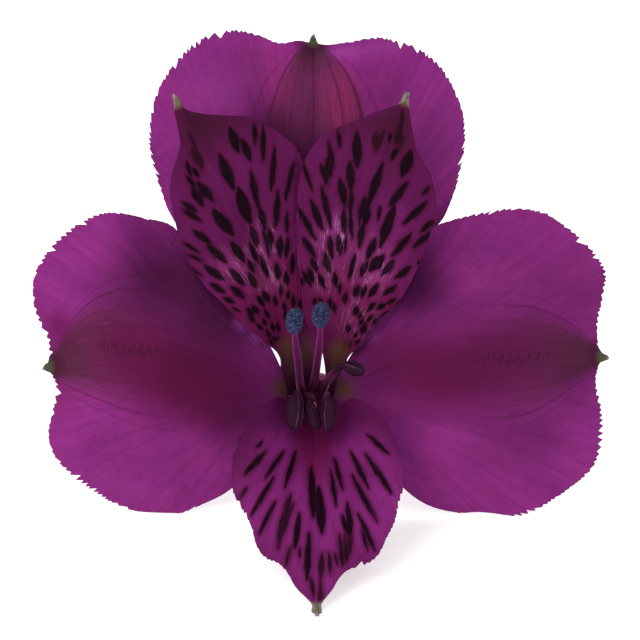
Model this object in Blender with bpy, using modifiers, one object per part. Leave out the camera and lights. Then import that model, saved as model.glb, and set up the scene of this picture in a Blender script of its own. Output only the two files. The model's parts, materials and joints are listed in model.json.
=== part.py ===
"""One alstroemeria bloom, picked with its flower stalk and laid on a flat surface.

Every place on the bloom is written in the flower's own frame, in millimetres:
u to the right, v up and w out of the throat, as seen by someone who looks into it.
The face then leans back by FACE_TILT, and the whole flower stands REST_HEIGHT above its lowest points.
"""

import math
import random

import bmesh
import bpy
import numpy as np

MM = 0.001
COLLECTION_NAME = "alstroemeria_flower"

# Stance on the surface
FACE_TILT = math.radians(30.0)
REST_HEIGHT = 17.75
SHIFT_X = -0.47
SHIFT_Y = -19.82

# Tepals
BLADE_THICKNESS = 0.6
THROAT = 0.4
FAN_POWER = 1.5
RUFFLE_WAVES = 6.5
TOOTH_TIPS = (-0.1, 0.3)
TOOTH_NOTCHES = (-1.1, -0.6)
CALM_POINT = 0.03
CALM_FADE = 0.05
CALM_CORNER = 0.08
OUTER_COLUMNS = (4, 4, 6, 10, 14, 20, 28, 40, 54, 72, 98, 116)
INNER_COLUMNS = (4, 4, 6, 10, 14, 18, 24, 30, 36, 44, 52, 58)
ROWS = (0.0, 0.2, 0.4, 0.48, 0.56, 0.64, 0.72, 0.8, 0.87, 0.925, 0.965, 1.0)

# Ovary, stalk and style
OVARY_TOP = (-0.4, -3.6, -17.3)
OVARY_AXIS = (0.0, 0.12, -0.99)
OVARY_LENGTH = 7.0
OVARY_RADIUS = 2.9
OVARY_RIBS = 6
RIB_HEIGHT = 0.09
CAP_LATITUDE = 66.0
OVARY_LEVELS = (0.0, 0.12, 0.35, 0.6, 0.82, 1.0)
OVARY_GIRTHS = (0.86, 0.98, 1.0, 0.88, 0.64, 0.42)
STALK_RADIUS = 1.15
STALK_LEVELS = (0.0, 0.12, 1.0)
STALK_GIRTHS = (1.03, 1.0, 0.98)
STALK_ROUTE = (
    (-0.4, 20.15, 3.25),
    (-0.75, 22.6, 2.3),
    (-1.25, 25.6, 1.6),
    (-1.75, 29.5, 1.22),
    (-2.1, 35.0, 1.13),
    (-1.8, 41.5, 1.12),
    (-0.9, 48.0, 1.12),
    (0.5, 56.0, 1.12),
    (1.3, 64.0, 1.12),
)
STYLE_RADIUS = 0.32
STIGMA_SWELL = 0.5
STIGMA_START = 0.7
STYLE_ROUTE = ((-0.4, -3.6, -16.95), (-0.45, -3.4, -14.0), (-0.6, -3.1, -11.0), (-0.75, -2.9, -9.4))

# Stamens
FILAMENT_RADIUS = 0.42
FILAMENT_LEVELS = (0.0, 0.3, 0.8, 1.0)
FILAMENT_GIRTHS = (0.72, 1.0, 0.9, 0.72)
FURROW_DEPTH = 0.26
FURROW_WIDTH = 0.4
ANTHER_BLUNTNESS = 0.8
CLOSED_ANTHER = (0.95, 2.15, 0.8)
OPEN_ANTHER = (1.0, 1.4, 0.85)

# Every tepal: three rails run from the claw's foot through the throat, the side rails to the two
# corners of the blade and the middle one to its point. The margins run from a corner to the point.
TEPALS = {
    "tepal_outer_top": {
        "left_rail": (
            (-1.45, -1.3, -16.6),
            (-1.7, 0.5, -11.9),
            (-1.95, 2.7, -8.1),
            (-3.9, 6.6, -6.4),
            (-6.9, 10.4, -5.7),
            (-10.4, 14.0, -5.6),
        ),
        "middle_rail": (
            (-0.7, -1.25, -16.6),
            (-0.85, 0.5, -11.9),
            (-0.95, 2.7, -7.9),
            (-0.7, 11.0, -4.8),
            (-0.4, 24.0, -3.2),
            (-0.3, 37.9, -5.0),
        ),
        "right_rail": (
            (0.05, -1.2, -16.6),
            (0.0, 0.5, -11.9),
            (0.05, 2.7, -8.1),
            (2.4, 6.6, -6.4),
            (5.8, 10.4, -5.7),
            (10.0, 13.9, -5.6),
        ),
        "left_margin": (
            (-10.4, 14.0, -5.6),
            (-14.0, 16.0, -5.8),
            (-16.2, 17.4, -5.8),
            (-17.4, 19.9, -5.8),
            (-18.4, 22.8, -5.9),
            (-19.0, 26.2, -5.9),
            (-18.7, 29.6, -5.9),
            (-17.5, 32.4, -5.7),
            (-15.3, 35.5, -5.5),
            (-12.6, 37.7, -5.2),
            (-9.6, 38.5, -5.0),
            (-6.8, 38.0, -4.7),
            (-4.2, 37.0, -4.4),
            (-2.2, 37.4, -4.5),
            (-0.9, 37.2, -4.7),
            (-0.3, 37.9, -5.0),
        ),
        "right_margin": (
            (-0.3, 37.9, -5.0),
            (0.3, 37.1, -4.7),
            (1.9, 36.9, -4.5),
            (3.6, 37.0, -4.4),
            (6.8, 37.6, -4.7),
            (9.5, 37.2, -5.0),
            (12.0, 36.2, -5.2),
            (14.2, 34.2, -5.5),
            (15.7, 31.4, -5.7),
            (16.6, 28.5, -5.8),
            (16.8, 25.4, -5.8),
            (16.2, 21.8, -5.8),
            (14.8, 17.9, -5.8),
            (13.2, 16.0, -5.8),
            (10.0, 13.9, -5.6),
        ),
        "columns": OUTER_COLUMNS,
        "tooth": 0.5,
        "ruffle": 0.35,
        "seed": 3,
    },
    "tepal_outer_left": {
        "left_rail": (
            (-2.1, -5.45, -17.05),
            (-2.75, -5.3, -11.5),
            (-3.7, -4.7, -7.4),
            (-5.1, -7.2, -6.0),
            (-6.7, -9.6, -5.8),
            (-8.2, -12.2, -6.2),
        ),
        "middle_rail": (
            (-2.48, -4.8, -17.05),
            (-3.2, -4.1, -11.5),
            (-4.3, -2.4, -6.8),
            (-11.0, -0.9, -2.4),
            (-21.0, -0.1, -1.0),
            (-31.0, 0.3, -3.6),
        ),
        "right_rail": (
            (-2.85, -4.15, -17.05),
            (-3.4, -2.9, -11.5),
            (-4.1, 0.0, -7.2),
            (-5.2, 2.5, -5.8),
            (-6.6, 5.2, -4.8),
            (-8.8, 8.2, -4.2),
        ),
        "left_margin": (
            (-8.2, -12.2, -6.2),
            (-9.8, -13.6, -6.6),
            (-11.5, -14.7, -6.9),
            (-13.7, -15.6, -7.3),
            (-16.0, -16.3, -7.6),
            (-18.4, -16.5, -7.6),
            (-20.8, -16.0, -7.5),
            (-23.7, -15.0, -7.0),
            (-26.2, -13.3, -6.3),
            (-28.2, -11.5, -5.6),
            (-29.8, -9.4, -5.0),
            (-30.3, -7.0, -4.4),
            (-29.7, -4.8, -3.9),
            (-29.3, -2.6, -3.4),
            (-29.7, -0.9, -3.3),
            (-31.0, 0.3, -3.6),
        ),
        "right_margin": (
            (-31.0, 0.3, -3.6),
            (-30.3, 1.2, -3.3),
            (-30.2, 3.2, -3.3),
            (-31.2, 5.2, -3.6),
            (-32.0, 7.6, -3.9),
            (-32.1, 10.4, -4.2),
            (-31.0, 12.7, -4.4),
            (-29.2, 14.8, -4.6),
            (-27.4, 16.3, -4.7),
            (-25.0, 17.3, -4.9),
            (-22.3, 17.6, -5.0),
            (-19.6, 17.2, -5.0),
            (-16.4, 16.5, -4.7),
            (-14.3, 14.2, -4.4),
            (-11.4, 10.8, -4.3),
            (-8.8, 8.2, -4.2),
        ),
        "columns": OUTER_COLUMNS,
        "tooth": 0.5,
        "ruffle": 0.35,
        "seed": 5,
    },
    "tepal_outer_right": {
        "left_rail": (
            (2.05, -4.15, -17.05),
            (2.45, -2.9, -11.5),
            (2.95, -0.5, -7.6),
            (4.3, 1.8, -6.7),
            (5.5, 4.8, -5.6),
            (8.0, 8.0, -4.2),
        ),
        "middle_rail": (
            (1.68, -4.8, -17.05),
            (2.2, -4.1, -11.5),
            (3.2, -2.6, -6.8),
            (11.0, -1.0, -2.4),
            (22.0, 0.4, -1.0),
            (33.2, 1.5, -3.6),
        ),
        "right_rail": (
            (1.3, -5.45, -17.05),
            (1.9, -5.3, -11.5),
            (2.9, -4.7, -7.4),
            (4.6, -7.2, -6.0),
            (6.6, -9.6, -5.8),
            (8.4, -12.0, -6.2),
        ),
        "left_margin": (
            (8.0, 8.0, -4.2),
            (10.4, 11.6, -4.2),
            (12.8, 15.7, -4.2),
            (15.6, 17.0, -4.6),
            (18.9, 17.8, -5.0),
            (22.5, 18.2, -5.0),
            (25.9, 17.8, -4.9),
            (27.2, 16.9, -4.8),
            (28.9, 15.7, -4.7),
            (31.2, 13.4, -4.6),
            (32.7, 11.0, -4.3),
            (32.4, 8.2, -3.9),
            (31.8, 5.2, -3.5),
            (31.9, 2.9, -3.4),
            (33.2, 1.5, -3.6),
        ),
        "right_margin": (
            (33.2, 1.5, -3.6),
            (32.0, 0.5, -3.4),
            (31.6, -1.5, -3.6),
            (32.2, -4.1, -4.0),
            (32.5, -6.9, -4.6),
            (31.9, -9.4, -5.1),
            (30.8, -11.8, -5.6),
            (28.9, -13.6, -6.1),
            (26.2, -15.2, -6.6),
            (23.0, -16.4, -7.0),
            (19.8, -16.8, -7.15),
            (16.8, -16.4, -7.15),
            (13.4, -15.4, -7.0),
            (10.6, -13.9, -6.7),
            (8.4, -12.0, -6.2),
        ),
        "columns": OUTER_COLUMNS,
        "tooth": 0.5,
        "ruffle": 0.35,
        "seed": 8,
    },
    "tepal_inner_left": {
        "left_rail": (
            (-2.77, -3.1, -16.8),
            (-3.2, -1.4, -11.5),
            (-3.85, 1.3, -6.3),
            (-5.3, 2.75, -4.0),
            (-7.6, 4.6, -2.2),
            (-10.4, 7.3, -1.2),
        ),
        "middle_rail": (
            (-2.39, -2.45, -16.8),
            (-2.85, -0.75, -11.5),
            (-3.3, 2.2, -6.2),
            (-5.4, 9.5, -2.0),
            (-9.7, 20.0, 1.6),
            (-16.1, 31.1, 2.4),
        ),
        "right_rail": (
            (-2.0, -1.8, -16.8),
            (-2.45, -0.1, -11.5),
            (-2.7, 2.9, -6.2),
            (-2.2, 6.4, -3.9),
            (-1.9, 9.9, -2.6),
            (-1.9, 13.5, -1.2),
        ),
        "left_margin": (
            (-10.4, 7.3, -1.2),
            (-12.4, 9.3, -0.4),
            (-14.0, 11.6, 0.3),
            (-15.0, 13.9, 0.8),
            (-15.9, 16.7, 1.4),
            (-16.4, 19.8, 1.9),
            (-16.2, 22.2, 2.2),
            (-15.3, 25.2, 2.4),
            (-15.6, 27.4, 2.4),
            (-16.0, 29.2, 2.4),
            (-16.1, 31.1, 2.4),
        ),
        "right_margin": (
            (-16.1, 31.1, 2.4),
            (-14.8, 29.5, 2.3),
            (-12.8, 28.9, 2.2),
            (-10.2, 28.7, 2.0),
            (-7.6, 28.8, 1.7),
            (-5.8, 28.0, 1.5),
            (-4.2, 26.7, 1.3),
            (-3.0, 25.0, 1.0),
            (-2.1, 22.0, 0.6),
            (-1.8, 18.0, -0.2),
            (-1.9, 13.5, -1.2),
        ),
        "columns": INNER_COLUMNS,
        "tooth": 0.12,
        "ruffle": 0.12,
        "seed": 13,
    },
    "tepal_inner_right": {
        "left_rail": (
            (1.25, -1.85, -16.8),
            (1.55, -0.1, -11.5),
            (1.05, 2.5, -6.4),
            (-1.1, 6.0, -3.3),
            (-1.6, 9.4, -1.2),
            (-2.1, 13.5, 0.4),
        ),
        "middle_rail": (
            (1.6, -2.5, -16.8),
            (2.0, -0.75, -11.5),
            (2.4, 2.0, -6.3),
            (3.4, 9.5, -1.6),
            (6.3, 20.0, 2.4),
            (10.4, 31.4, 3.2),
        ),
        "right_rail": (
            (1.98, -3.15, -16.8),
            (2.45, -1.4, -11.5),
            (3.4, 1.5, -6.5),
            (4.7, 3.4, -4.0),
            (6.6, 5.2, -2.2),
            (8.6, 7.0, -1.2),
        ),
        "left_margin": (
            (-2.1, 13.5, 0.4),
            (-2.2, 17.6, 1.2),
            (-1.9, 21.2, 1.8),
            (-1.2, 23.8, 2.2),
            (0.2, 25.8, 2.5),
            (2.0, 27.6, 2.8),
            (4.6, 28.5, 3.0),
            (6.8, 29.2, 3.1),
            (9.2, 30.0, 3.2),
            (10.4, 31.4, 3.2),
        ),
        "right_margin": (
            (10.4, 31.4, 3.2),
            (10.5, 29.6, 3.3),
            (10.8, 27.1, 3.3),
            (11.4, 24.6, 3.2),
            (12.8, 22.2, 3.0),
            (13.5, 19.2, 2.4),
            (13.3, 16.7, 1.8),
            (12.3, 13.7, 1.0),
            (11.4, 11.4, 0.4),
            (10.1, 8.9, -0.4),
            (8.6, 7.0, -1.2),
        ),
        "columns": INNER_COLUMNS,
        "tooth": 0.12,
        "ruffle": 0.12,
        "seed": 21,
    },
    "tepal_inner_lower": {
        "left_rail": (
            (0.35, -5.95, -17.15),
            (0.6, -6.05, -11.5),
            (1.9, -5.2, -6.4),
            (4.2, -3.6, -3.0),
            (7.0, -4.8, -0.6),
            (8.9, -7.7, 1.2),
        ),
        "middle_rail": (
            (-0.4, -5.97, -17.15),
            (-0.35, -6.2, -11.5),
            (-0.1, -6.9, -6.2),
            (0.1, -11.0, 0.6),
            (0.1, -19.0, 7.4),
            (0.0, -27.7, 12.2),
        ),
        "right_rail": (
            (-1.15, -5.95, -17.15),
            (-1.35, -6.05, -11.5),
            (-2.2, -5.2, -6.4),
            (-4.1, -3.6, -3.0),
            (-6.7, -4.8, -0.6),
            (-8.7, -7.7, 1.2),
        ),
        "left_margin": (
            (8.9, -7.7, 1.2),
            (9.6, -10.2, 2.2),
            (9.8, -13.0, 3.5),
            (9.3, -15.0, 4.5),
            (8.8, -17.0, 5.5),
            (7.9, -18.7, 6.5),
            (7.0, -20.5, 7.5),
            (5.6, -21.6, 8.3),
            (3.6, -22.3, 9.0),
            (2.5, -23.2, 9.7),
            (1.8, -24.6, 10.5),
            (0.9, -25.9, 11.3),
            (0.0, -27.7, 12.2),
        ),
        "right_margin": (
            (0.0, -27.7, 12.2),
            (-0.8, -26.1, 11.4),
            (-2.4, -24.2, 10.3),
            (-3.3, -22.7, 9.4),
            (-4.4, -21.7, 8.6),
            (-6.0, -20.5, 7.7),
            (-7.0, -19.0, 6.7),
            (-7.7, -16.9, 5.5),
            (-8.6, -15.0, 4.5),
            (-9.4, -13.2, 3.5),
            (-9.4, -10.3, 2.2),
            (-8.7, -7.7, 1.2),
        ),
        "columns": INNER_COLUMNS,
        "tooth": 0.25,
        "ruffle": 0.15,
        "seed": 34,
    },
}

# Every stamen: its filament's route, then its anther's middle, long direction and kind
STAMENS = {
    "upper_left": {
        "route": (
            (-1.57, -2.9, -16.75),
            (-1.8, -1.7, -8.0),
            (-2.0, 0.5, -3.0),
            (-2.25, 2.6, 1.0),
            (-2.35, 3.75, 3.0),
        ),
        "anther": (-2.4, 5.55, 3.7),
        "along": (0.12, 1.0, 0.1),
        "size": OPEN_ANTHER,
    },
    "upper_right": {
        "route": (
            (-0.4, -2.3, -16.65),
            (-0.15, -1.2, -8.0),
            (0.15, 1.0, -2.6),
            (0.4, 3.0, 1.4),
            (0.48, 4.4, 3.4),
        ),
        "anther": (0.55, 6.2, 4.2),
        "along": (0.1, 1.0, 0.15),
        "size": OPEN_ANTHER,
    },
    "right": {
        "route": (
            (0.77, -2.9, -16.75),
            (1.1, -1.6, -9.0),
            (1.7, -0.7, -3.0),
            (2.4, 0.05, 0.1),
            (2.8, 0.4, 1.35),
        ),
        "anther": (4.3, 0.2, 2.2),
        "along": (1.0, -0.35, 0.25),
        "size": (0.85, 1.3, 0.75),
    },
    "lower_left": {
        "route": (
            (-1.5, -4.25, -16.95),
            (-1.9, -3.6, -9.0),
            (-2.2, -2.7, -2.6),
            (-2.25, -2.3, 0.6),
        ),
        "anther": (-2.4, -4.6, 1.9),
        "along": (0.08, 1.0, -0.25),
        "size": CLOSED_ANTHER,
    },
    "lower_middle": {
        "route": (
            (-0.4, -4.85, -17.0),
            (-0.4, -4.3, -9.0),
            (-0.45, -3.6, -3.0),
            (-0.5, -3.2, -0.4),
        ),
        "anther": (-0.42, -5.1, 1.0),
        "along": (-0.42, 1.0, -0.3),
        "size": (0.8, 1.8, 0.7),
    },
    "lower_right": {
        "route": (
            (0.72, -4.25, -16.95),
            (1.1, -3.6, -9.0),
            (1.35, -2.9, -2.6),
            (1.4, -2.6, 0.6),
        ),
        "anther": (1.45, -4.9, 2.2),
        "along": (0.05, 1.0, -0.25),
        "size": (0.85, 2.1, 0.75),
    },
}

MATERIALS = {
    "outer_tepal": ((0.24, 0.025, 0.2, 1.0), 0.5),
    "inner_tepal": ((0.16, 0.015, 0.12, 1.0), 0.5),
    "filament": ((0.12, 0.01, 0.1, 1.0), 0.45),
    "closed_anther": ((0.03, 0.01, 0.03, 1.0), 0.5),
    "pollen_anther": ((0.05, 0.07, 0.16, 1.0), 0.9),
    "ovary": ((0.1, 0.16, 0.04, 1.0), 0.5),
    "stalk": ((0.14, 0.2, 0.06, 1.0), 0.5),
}


def clear_scene():
    """Takes every object out of the scene."""
    for scene_object in list(bpy.data.objects):
        bpy.data.objects.remove(scene_object, do_unlink=True)


def flower_to_world(places):
    """World places in metres, from places in the flower's frame in millimetres."""
    places = np.asarray(places, dtype=float)
    u, v, w = places[..., 0], places[..., 1], places[..., 2]
    x = u + SHIFT_X
    y = v * math.sin(FACE_TILT) - w * math.cos(FACE_TILT) + SHIFT_Y
    z = v * math.cos(FACE_TILT) + w * math.sin(FACE_TILT) + REST_HEIGHT
    return np.stack([x, y, z], axis=-1) * MM


def through_knots(knots, where):
    """Places on a smooth curve that passes its knots at equal steps of where, from 0 to 1."""
    knots = np.asarray(knots, dtype=float)
    spans = len(knots) - 1
    slopes = np.gradient(knots, axis=0)
    position = np.clip(np.asarray(where, dtype=float), 0.0, 1.0) * spans
    span = np.minimum(position.astype(int), spans - 1)
    x = (position - span)[..., None]
    start, end = knots[span], knots[span + 1]
    return (
        start * (2 * x**3 - 3 * x**2 + 1)
        + slopes[span] * (x**3 - 2 * x**2 + x)
        + end * (3 * x**2 - 2 * x**3)
        + slopes[span + 1] * (x**3 - x**2)
    )


def by_length(knots, where):
    """Places at equal steps of length on the same curve."""
    fine = np.linspace(0.0, 1.0, 400)
    places = through_knots(knots, fine)
    steps = np.linalg.norm(np.diff(places, axis=0), axis=1)
    length = np.concatenate([[0.0], np.cumsum(steps)])
    return through_knots(knots, np.interp(np.asarray(where) * length[-1], length, fine))


def across(left, middle, right, s):
    """The arched line over three places, at s from 0 on the left to 1 on the right."""
    s = s[..., None]
    return left * (1 - s) * (1 - 2 * s) + middle * 4 * s * (1 - s) + right * s * (2 * s - 1)


def margin_places(tepal, s):
    """Places on the blade's margin: the left half up to the point, then the right half."""
    left = by_length(tepal["left_margin"], np.clip(2 * s, 0, 1))
    right = by_length(tepal["right_margin"], np.clip(2 * s - 1, 0, 1))
    return np.where((s < 0.5)[..., None], left, right)


def tepal_row(tepal, t, s):
    """One row of the tepal at t, from the claw's foot at 0 to the margin at 1."""
    rails = [through_knots(tepal[name], t) for name in ("left_rail", "middle_rail", "right_rail")]
    ends = [np.asarray(tepal[name][-1]) for name in ("left_rail", "middle_rail", "right_rail")]
    row = across(*rails, s)
    spread = max(0.0, (t - THROAT) / (1 - THROAT)) ** FAN_POWER
    row += spread * (margin_places(tepal, s) - across(*ends, s))
    waves = np.sin(2 * math.pi * RUFFLE_WAVES * s + tepal["seed"]) * np.sin(math.pi * s) ** 0.5
    row[:, 2] += tepal["ruffle"] * spread**2 * waves
    return row


def teeth(tepal, count):
    """How far every column's end stands out of the margin: saw teeth of unlike height."""
    draw = random.Random(tepal["seed"])
    heights = []
    for column in range(count + 1):
        s = column / count
        from_point = max(0.0, abs(s - 0.5) - CALM_POINT)
        calm = min(1.0, from_point / CALM_FADE, s / CALM_CORNER, (1 - s) / CALM_CORNER)
        height = draw.uniform(*(TOOTH_TIPS if column % 2 else TOOTH_NOTCHES))
        heights.append(tepal["tooth"] * calm * height)
    return np.array(heights)


def tepal_rows(tepal):
    """All rows of the tepal, each with more columns than the one before, and teeth on the last."""
    rows = []
    for t, count in zip(ROWS, tepal["columns"]):
        s = np.linspace(0.0, 1.0, count + 1)
        row = tepal_row(tepal, t, s)
        if t == 1.0:
            outward = row - tepal_row(tepal, ROWS[-2], s)
            outward /= np.linalg.norm(outward, axis=1)[:, None]
            row += outward * teeth(tepal, count)[:, None]
        rows.append(row)
    return rows


def skin_rows(mesh, rows):
    """Triangles between rows with unlike numbers of places."""
    made = [[mesh.verts.new(place) for place in row] for row in rows]
    for lower, upper in zip(made, made[1:]):
        i, j = 0, 0
        low_steps, high_steps = len(lower) - 1, len(upper) - 1
        while i < low_steps or j < high_steps:
            low_next = (i + 1) / low_steps
            high_next = (j + 1) / high_steps
            if j == high_steps or (i < low_steps and low_next <= high_next):
                mesh.faces.new((lower[i], lower[i + 1], upper[j]))
                i += 1
            else:
                mesh.faces.new((lower[i], upper[j + 1], upper[j]))
                j += 1


def new_material(name):
    """A plain material in the piece's own colour."""
    colour, roughness = MATERIALS[name]
    material = bpy.data.materials.new(name)
    material.use_nodes = True
    shader = material.node_tree.nodes["Principled BSDF"]
    shader.inputs["Base Color"].default_value = colour
    shader.inputs["Roughness"].default_value = roughness
    shader.inputs["Metallic"].default_value = 0.0
    return material


def add_object(name, data, material, collection, parent):
    """A named object with one material, under the flower's empty."""
    new_object = bpy.data.objects.new(name, data)
    data.materials.append(material)
    new_object.parent = parent
    collection.objects.link(new_object)
    return new_object


def as_mesh(source):
    """Replaces an object by a mesh object of its evaluated shape, with its loose caps welded."""
    bpy.context.view_layer.update()
    shape = bpy.data.meshes.new_from_object(source.evaluated_get(bpy.context.evaluated_depsgraph_get()))
    mesh = bmesh.new()
    mesh.from_mesh(shape)
    bmesh.ops.remove_doubles(mesh, verts=mesh.verts, dist=1e-6)
    bmesh.ops.triangulate(mesh, faces=mesh.faces)
    mesh.to_mesh(shape)
    mesh.free()
    name, collection, parent = source.name, source.users_collection[0], source.parent
    bpy.data.objects.remove(source, do_unlink=True)
    made = bpy.data.objects.new(name, shape)
    made.parent = parent
    collection.objects.link(made)
    return made


def settle_on_surface(piece):
    """Flattens what would reach below the surface, which leaves a small flat spot."""
    for vertex in piece.data.vertices:
        vertex.co.z = max(vertex.co.z, 0.0)


def add_tepal(name, tepal, material, collection, parent):
    """One tepal: an open waved sheet, given its thickness."""
    sheet = bpy.data.meshes.new(name)
    mesh = bmesh.new()
    skin_rows(mesh, [flower_to_world(row) for row in tepal_rows(tepal)])
    mesh.to_mesh(sheet)
    mesh.free()
    blade = add_object(name, sheet, material, collection, parent)
    solidify = blade.modifiers.new("thickness", "SOLIDIFY")
    solidify.thickness = BLADE_THICKNESS * MM
    solidify.offset = 0.0
    solid = as_mesh(blade)
    settle_on_surface(solid)
    return solid


def add_tube(name, places, radii, material, collection, parent, sides=2):
    """A tube through the places, in metres, with closed ends."""
    curve = bpy.data.curves.new(name, "CURVE")
    curve.dimensions = "3D"
    curve.bevel_depth = 1.0
    curve.bevel_resolution = sides
    curve.use_fill_caps = True
    spline = curve.splines.new("POLY")
    spline.points.add(len(places) - 1)
    for point, place, radius in zip(spline.points, places, radii):
        point.co = (*place, 1.0)
        point.radius = radius * MM
    return add_object(name, curve, material, collection, parent)


def add_filament(name, route, material, collection, parent):
    """A filament, thinner at its foot and below its anther."""
    where = np.linspace(0.0, 1.0, 13)
    places = flower_to_world(by_length(route, where))
    radii = FILAMENT_RADIUS * np.interp(where, FILAMENT_LEVELS, FILAMENT_GIRTHS)
    return as_mesh(add_tube(name, places, radii, material, collection, parent))


def frame_along(direction):
    """Three unit axes: across, along the direction, and towards the viewer, in the flower's frame."""
    along = np.asarray(direction, dtype=float)
    along /= np.linalg.norm(along)
    side = np.cross(along, (0.0, 0.0, 1.0))
    side /= np.linalg.norm(side)
    return side, along, np.cross(side, along)


def add_anther(name, stamen, material, collection, parent):
    """A two-lobed anther: a rounded body with a furrow down its front and back."""
    shape = bpy.data.meshes.new(name)
    mesh = bmesh.new()
    bmesh.ops.create_uvsphere(mesh, u_segments=16, v_segments=9, radius=1.0)
    side, along, front = frame_along(stamen["along"])
    width, length, depth = stamen["size"]
    centre = np.asarray(stamen["anther"])
    for vertex in mesh.verts:
        x, y, z = vertex.co
        turn = math.atan2(x, y)
        furrow = math.exp(-((min(abs(turn), math.pi - abs(turn)) / FURROW_WIDTH) ** 2))
        girth = 1.0 - FURROW_DEPTH * furrow * (1 - z * z)
        blunt = math.copysign(abs(z) ** ANTHER_BLUNTNESS, z)
        place = centre + side * x * girth * width + along * blunt * length + front * y * girth * depth
        vertex.co = flower_to_world(place)
    bmesh.ops.recalc_face_normals(mesh, faces=mesh.faces)
    mesh.to_mesh(shape)
    mesh.free()
    return add_object(name, shape, material, collection, parent)


def add_ovary(material, collection, parent):
    """The six-ribbed ovary: a flat top under the tepals, and a neck that meets the stalk."""
    shape = bpy.data.meshes.new("ovary")
    mesh = bmesh.new()
    bmesh.ops.create_uvsphere(mesh, u_segments=24, v_segments=14, radius=1.0)
    side, along, front = frame_along(OVARY_AXIS)
    for vertex in mesh.verts:
        x, y, z = vertex.co
        latitude = math.degrees(math.asin(max(-1.0, min(1.0, z))))
        turn = math.atan2(y, x)
        length = np.interp(latitude, (-CAP_LATITUDE, CAP_LATITUDE), (1.0, 0.0))
        radius = OVARY_RADIUS * np.interp(length, OVARY_LEVELS, OVARY_GIRTHS)
        radius *= np.interp(abs(latitude), (CAP_LATITUDE, 90.0), (1.0, 0.0))
        radius *= 1.0 + RIB_HEIGHT * math.cos(OVARY_RIBS * turn) * np.interp(length, (0.7, 1.0), (1.0, 0.2))
        place = np.asarray(OVARY_TOP) + along * length * OVARY_LENGTH
        place = place + radius * (side * math.cos(turn) + front * math.sin(turn))
        vertex.co = flower_to_world(place)
    bmesh.ops.recalc_face_normals(mesh, faces=mesh.faces)
    mesh.to_mesh(shape)
    mesh.free()
    return add_object("ovary", shape, material, collection, parent)


def add_style(material, collection, parent):
    """The young style, with its tip swollen into the stigma."""
    where = np.linspace(0.0, 1.0, 9)
    places = flower_to_world(by_length(STYLE_ROUTE, where))
    radii = STYLE_RADIUS * np.interp(where, (STIGMA_START, 1.0), (1.0, 1.0 + STIGMA_SWELL))
    return as_mesh(add_tube("style", places, radii, material, collection, parent))


def add_stalk(material, collection, parent):
    """The flower stalk: down from the ovary and then along the surface to its cut end."""
    route = np.asarray(STALK_ROUTE) + (SHIFT_X, SHIFT_Y, 0.0)
    where = np.linspace(0.0, 1.0, 26)
    places = by_length(route, where) * MM
    radii = STALK_RADIUS * np.interp(where, STALK_LEVELS, STALK_GIRTHS)
    stalk = as_mesh(add_tube("flower_stalk", places, radii, material, collection, parent, sides=3))
    settle_on_surface(stalk)
    return stalk


def build_flower():
    """The whole flower in its own collection, under one empty."""
    collection = bpy.data.collections.new(COLLECTION_NAME)
    bpy.context.scene.collection.children.link(collection)
    flower = bpy.data.objects.new("flower", None)
    collection.objects.link(flower)
    materials = {name: new_material(name) for name in MATERIALS}
    for name, tepal in TEPALS.items():
        material = materials["outer_tepal" if "outer" in name else "inner_tepal"]
        add_tepal(name, tepal, material, collection, flower)
    for place, stamen in STAMENS.items():
        kind = "pollen_anther" if stamen["size"] is OPEN_ANTHER else "closed_anther"
        add_filament("filament_" + place, stamen["route"], materials["filament"], collection, flower)
        add_anther("anther_" + place, stamen, materials[kind], collection, flower)
    add_style(materials["filament"], collection, flower)
    add_ovary(materials["ovary"], collection, flower)
    add_stalk(materials["stalk"], collection, flower)


clear_scene()
build_flower()
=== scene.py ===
"""The looks of one alstroemeria bloom, picked with its flower stalk and laid on a pale surface.

Every place on the bloom is written in the flower's own frame, in millimetres:
u to the right, v up and w out of the throat, as seen by someone who looks into it.
"""

import json
import math
import random

import bpy
import numpy as np
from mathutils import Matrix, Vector

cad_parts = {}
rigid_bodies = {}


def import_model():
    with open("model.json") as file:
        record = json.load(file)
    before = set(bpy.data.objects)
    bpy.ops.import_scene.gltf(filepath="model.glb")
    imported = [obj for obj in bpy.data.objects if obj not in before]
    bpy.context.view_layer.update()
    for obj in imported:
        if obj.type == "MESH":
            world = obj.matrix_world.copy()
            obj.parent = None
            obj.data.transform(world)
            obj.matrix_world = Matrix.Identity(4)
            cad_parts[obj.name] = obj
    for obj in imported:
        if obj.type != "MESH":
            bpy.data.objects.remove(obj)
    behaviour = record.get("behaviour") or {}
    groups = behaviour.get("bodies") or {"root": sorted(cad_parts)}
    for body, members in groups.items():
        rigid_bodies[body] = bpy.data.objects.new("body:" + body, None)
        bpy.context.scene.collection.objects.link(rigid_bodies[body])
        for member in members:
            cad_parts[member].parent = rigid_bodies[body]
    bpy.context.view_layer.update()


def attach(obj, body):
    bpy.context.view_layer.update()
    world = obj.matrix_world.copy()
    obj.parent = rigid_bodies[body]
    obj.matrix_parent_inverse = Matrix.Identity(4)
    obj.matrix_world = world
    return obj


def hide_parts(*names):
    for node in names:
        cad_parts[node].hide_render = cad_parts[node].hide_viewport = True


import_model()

bl_info = {
    "name": "Alstroemeria bloom",
    "version": (1, 0, 0),
    "blender": (4, 5, 0),
    "location": "3D View > Sidebar > Flower",
    "description": "Models the petals, stamens and stalk of one alstroemeria bloom and lights them",
    "category": "Object",
}

MM = 0.001
BODY = "root"

# Stance on the surface, as the solids have it
FACE_TILT = math.radians(30.0)
REST_HEIGHT = 17.75
SHIFT_X = -0.47
SHIFT_Y = -19.82

# Camera, on the axis that the bloom faces
VIEW_CENTRE = (0.452, 5.65, 0.0)
CAMERA_DISTANCE = 0.8036
CAMERA_LENS = 400.0
SENSOR_WIDTH = 36.0
CAMERA_RANGE = (0.01, 20.0)

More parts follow.
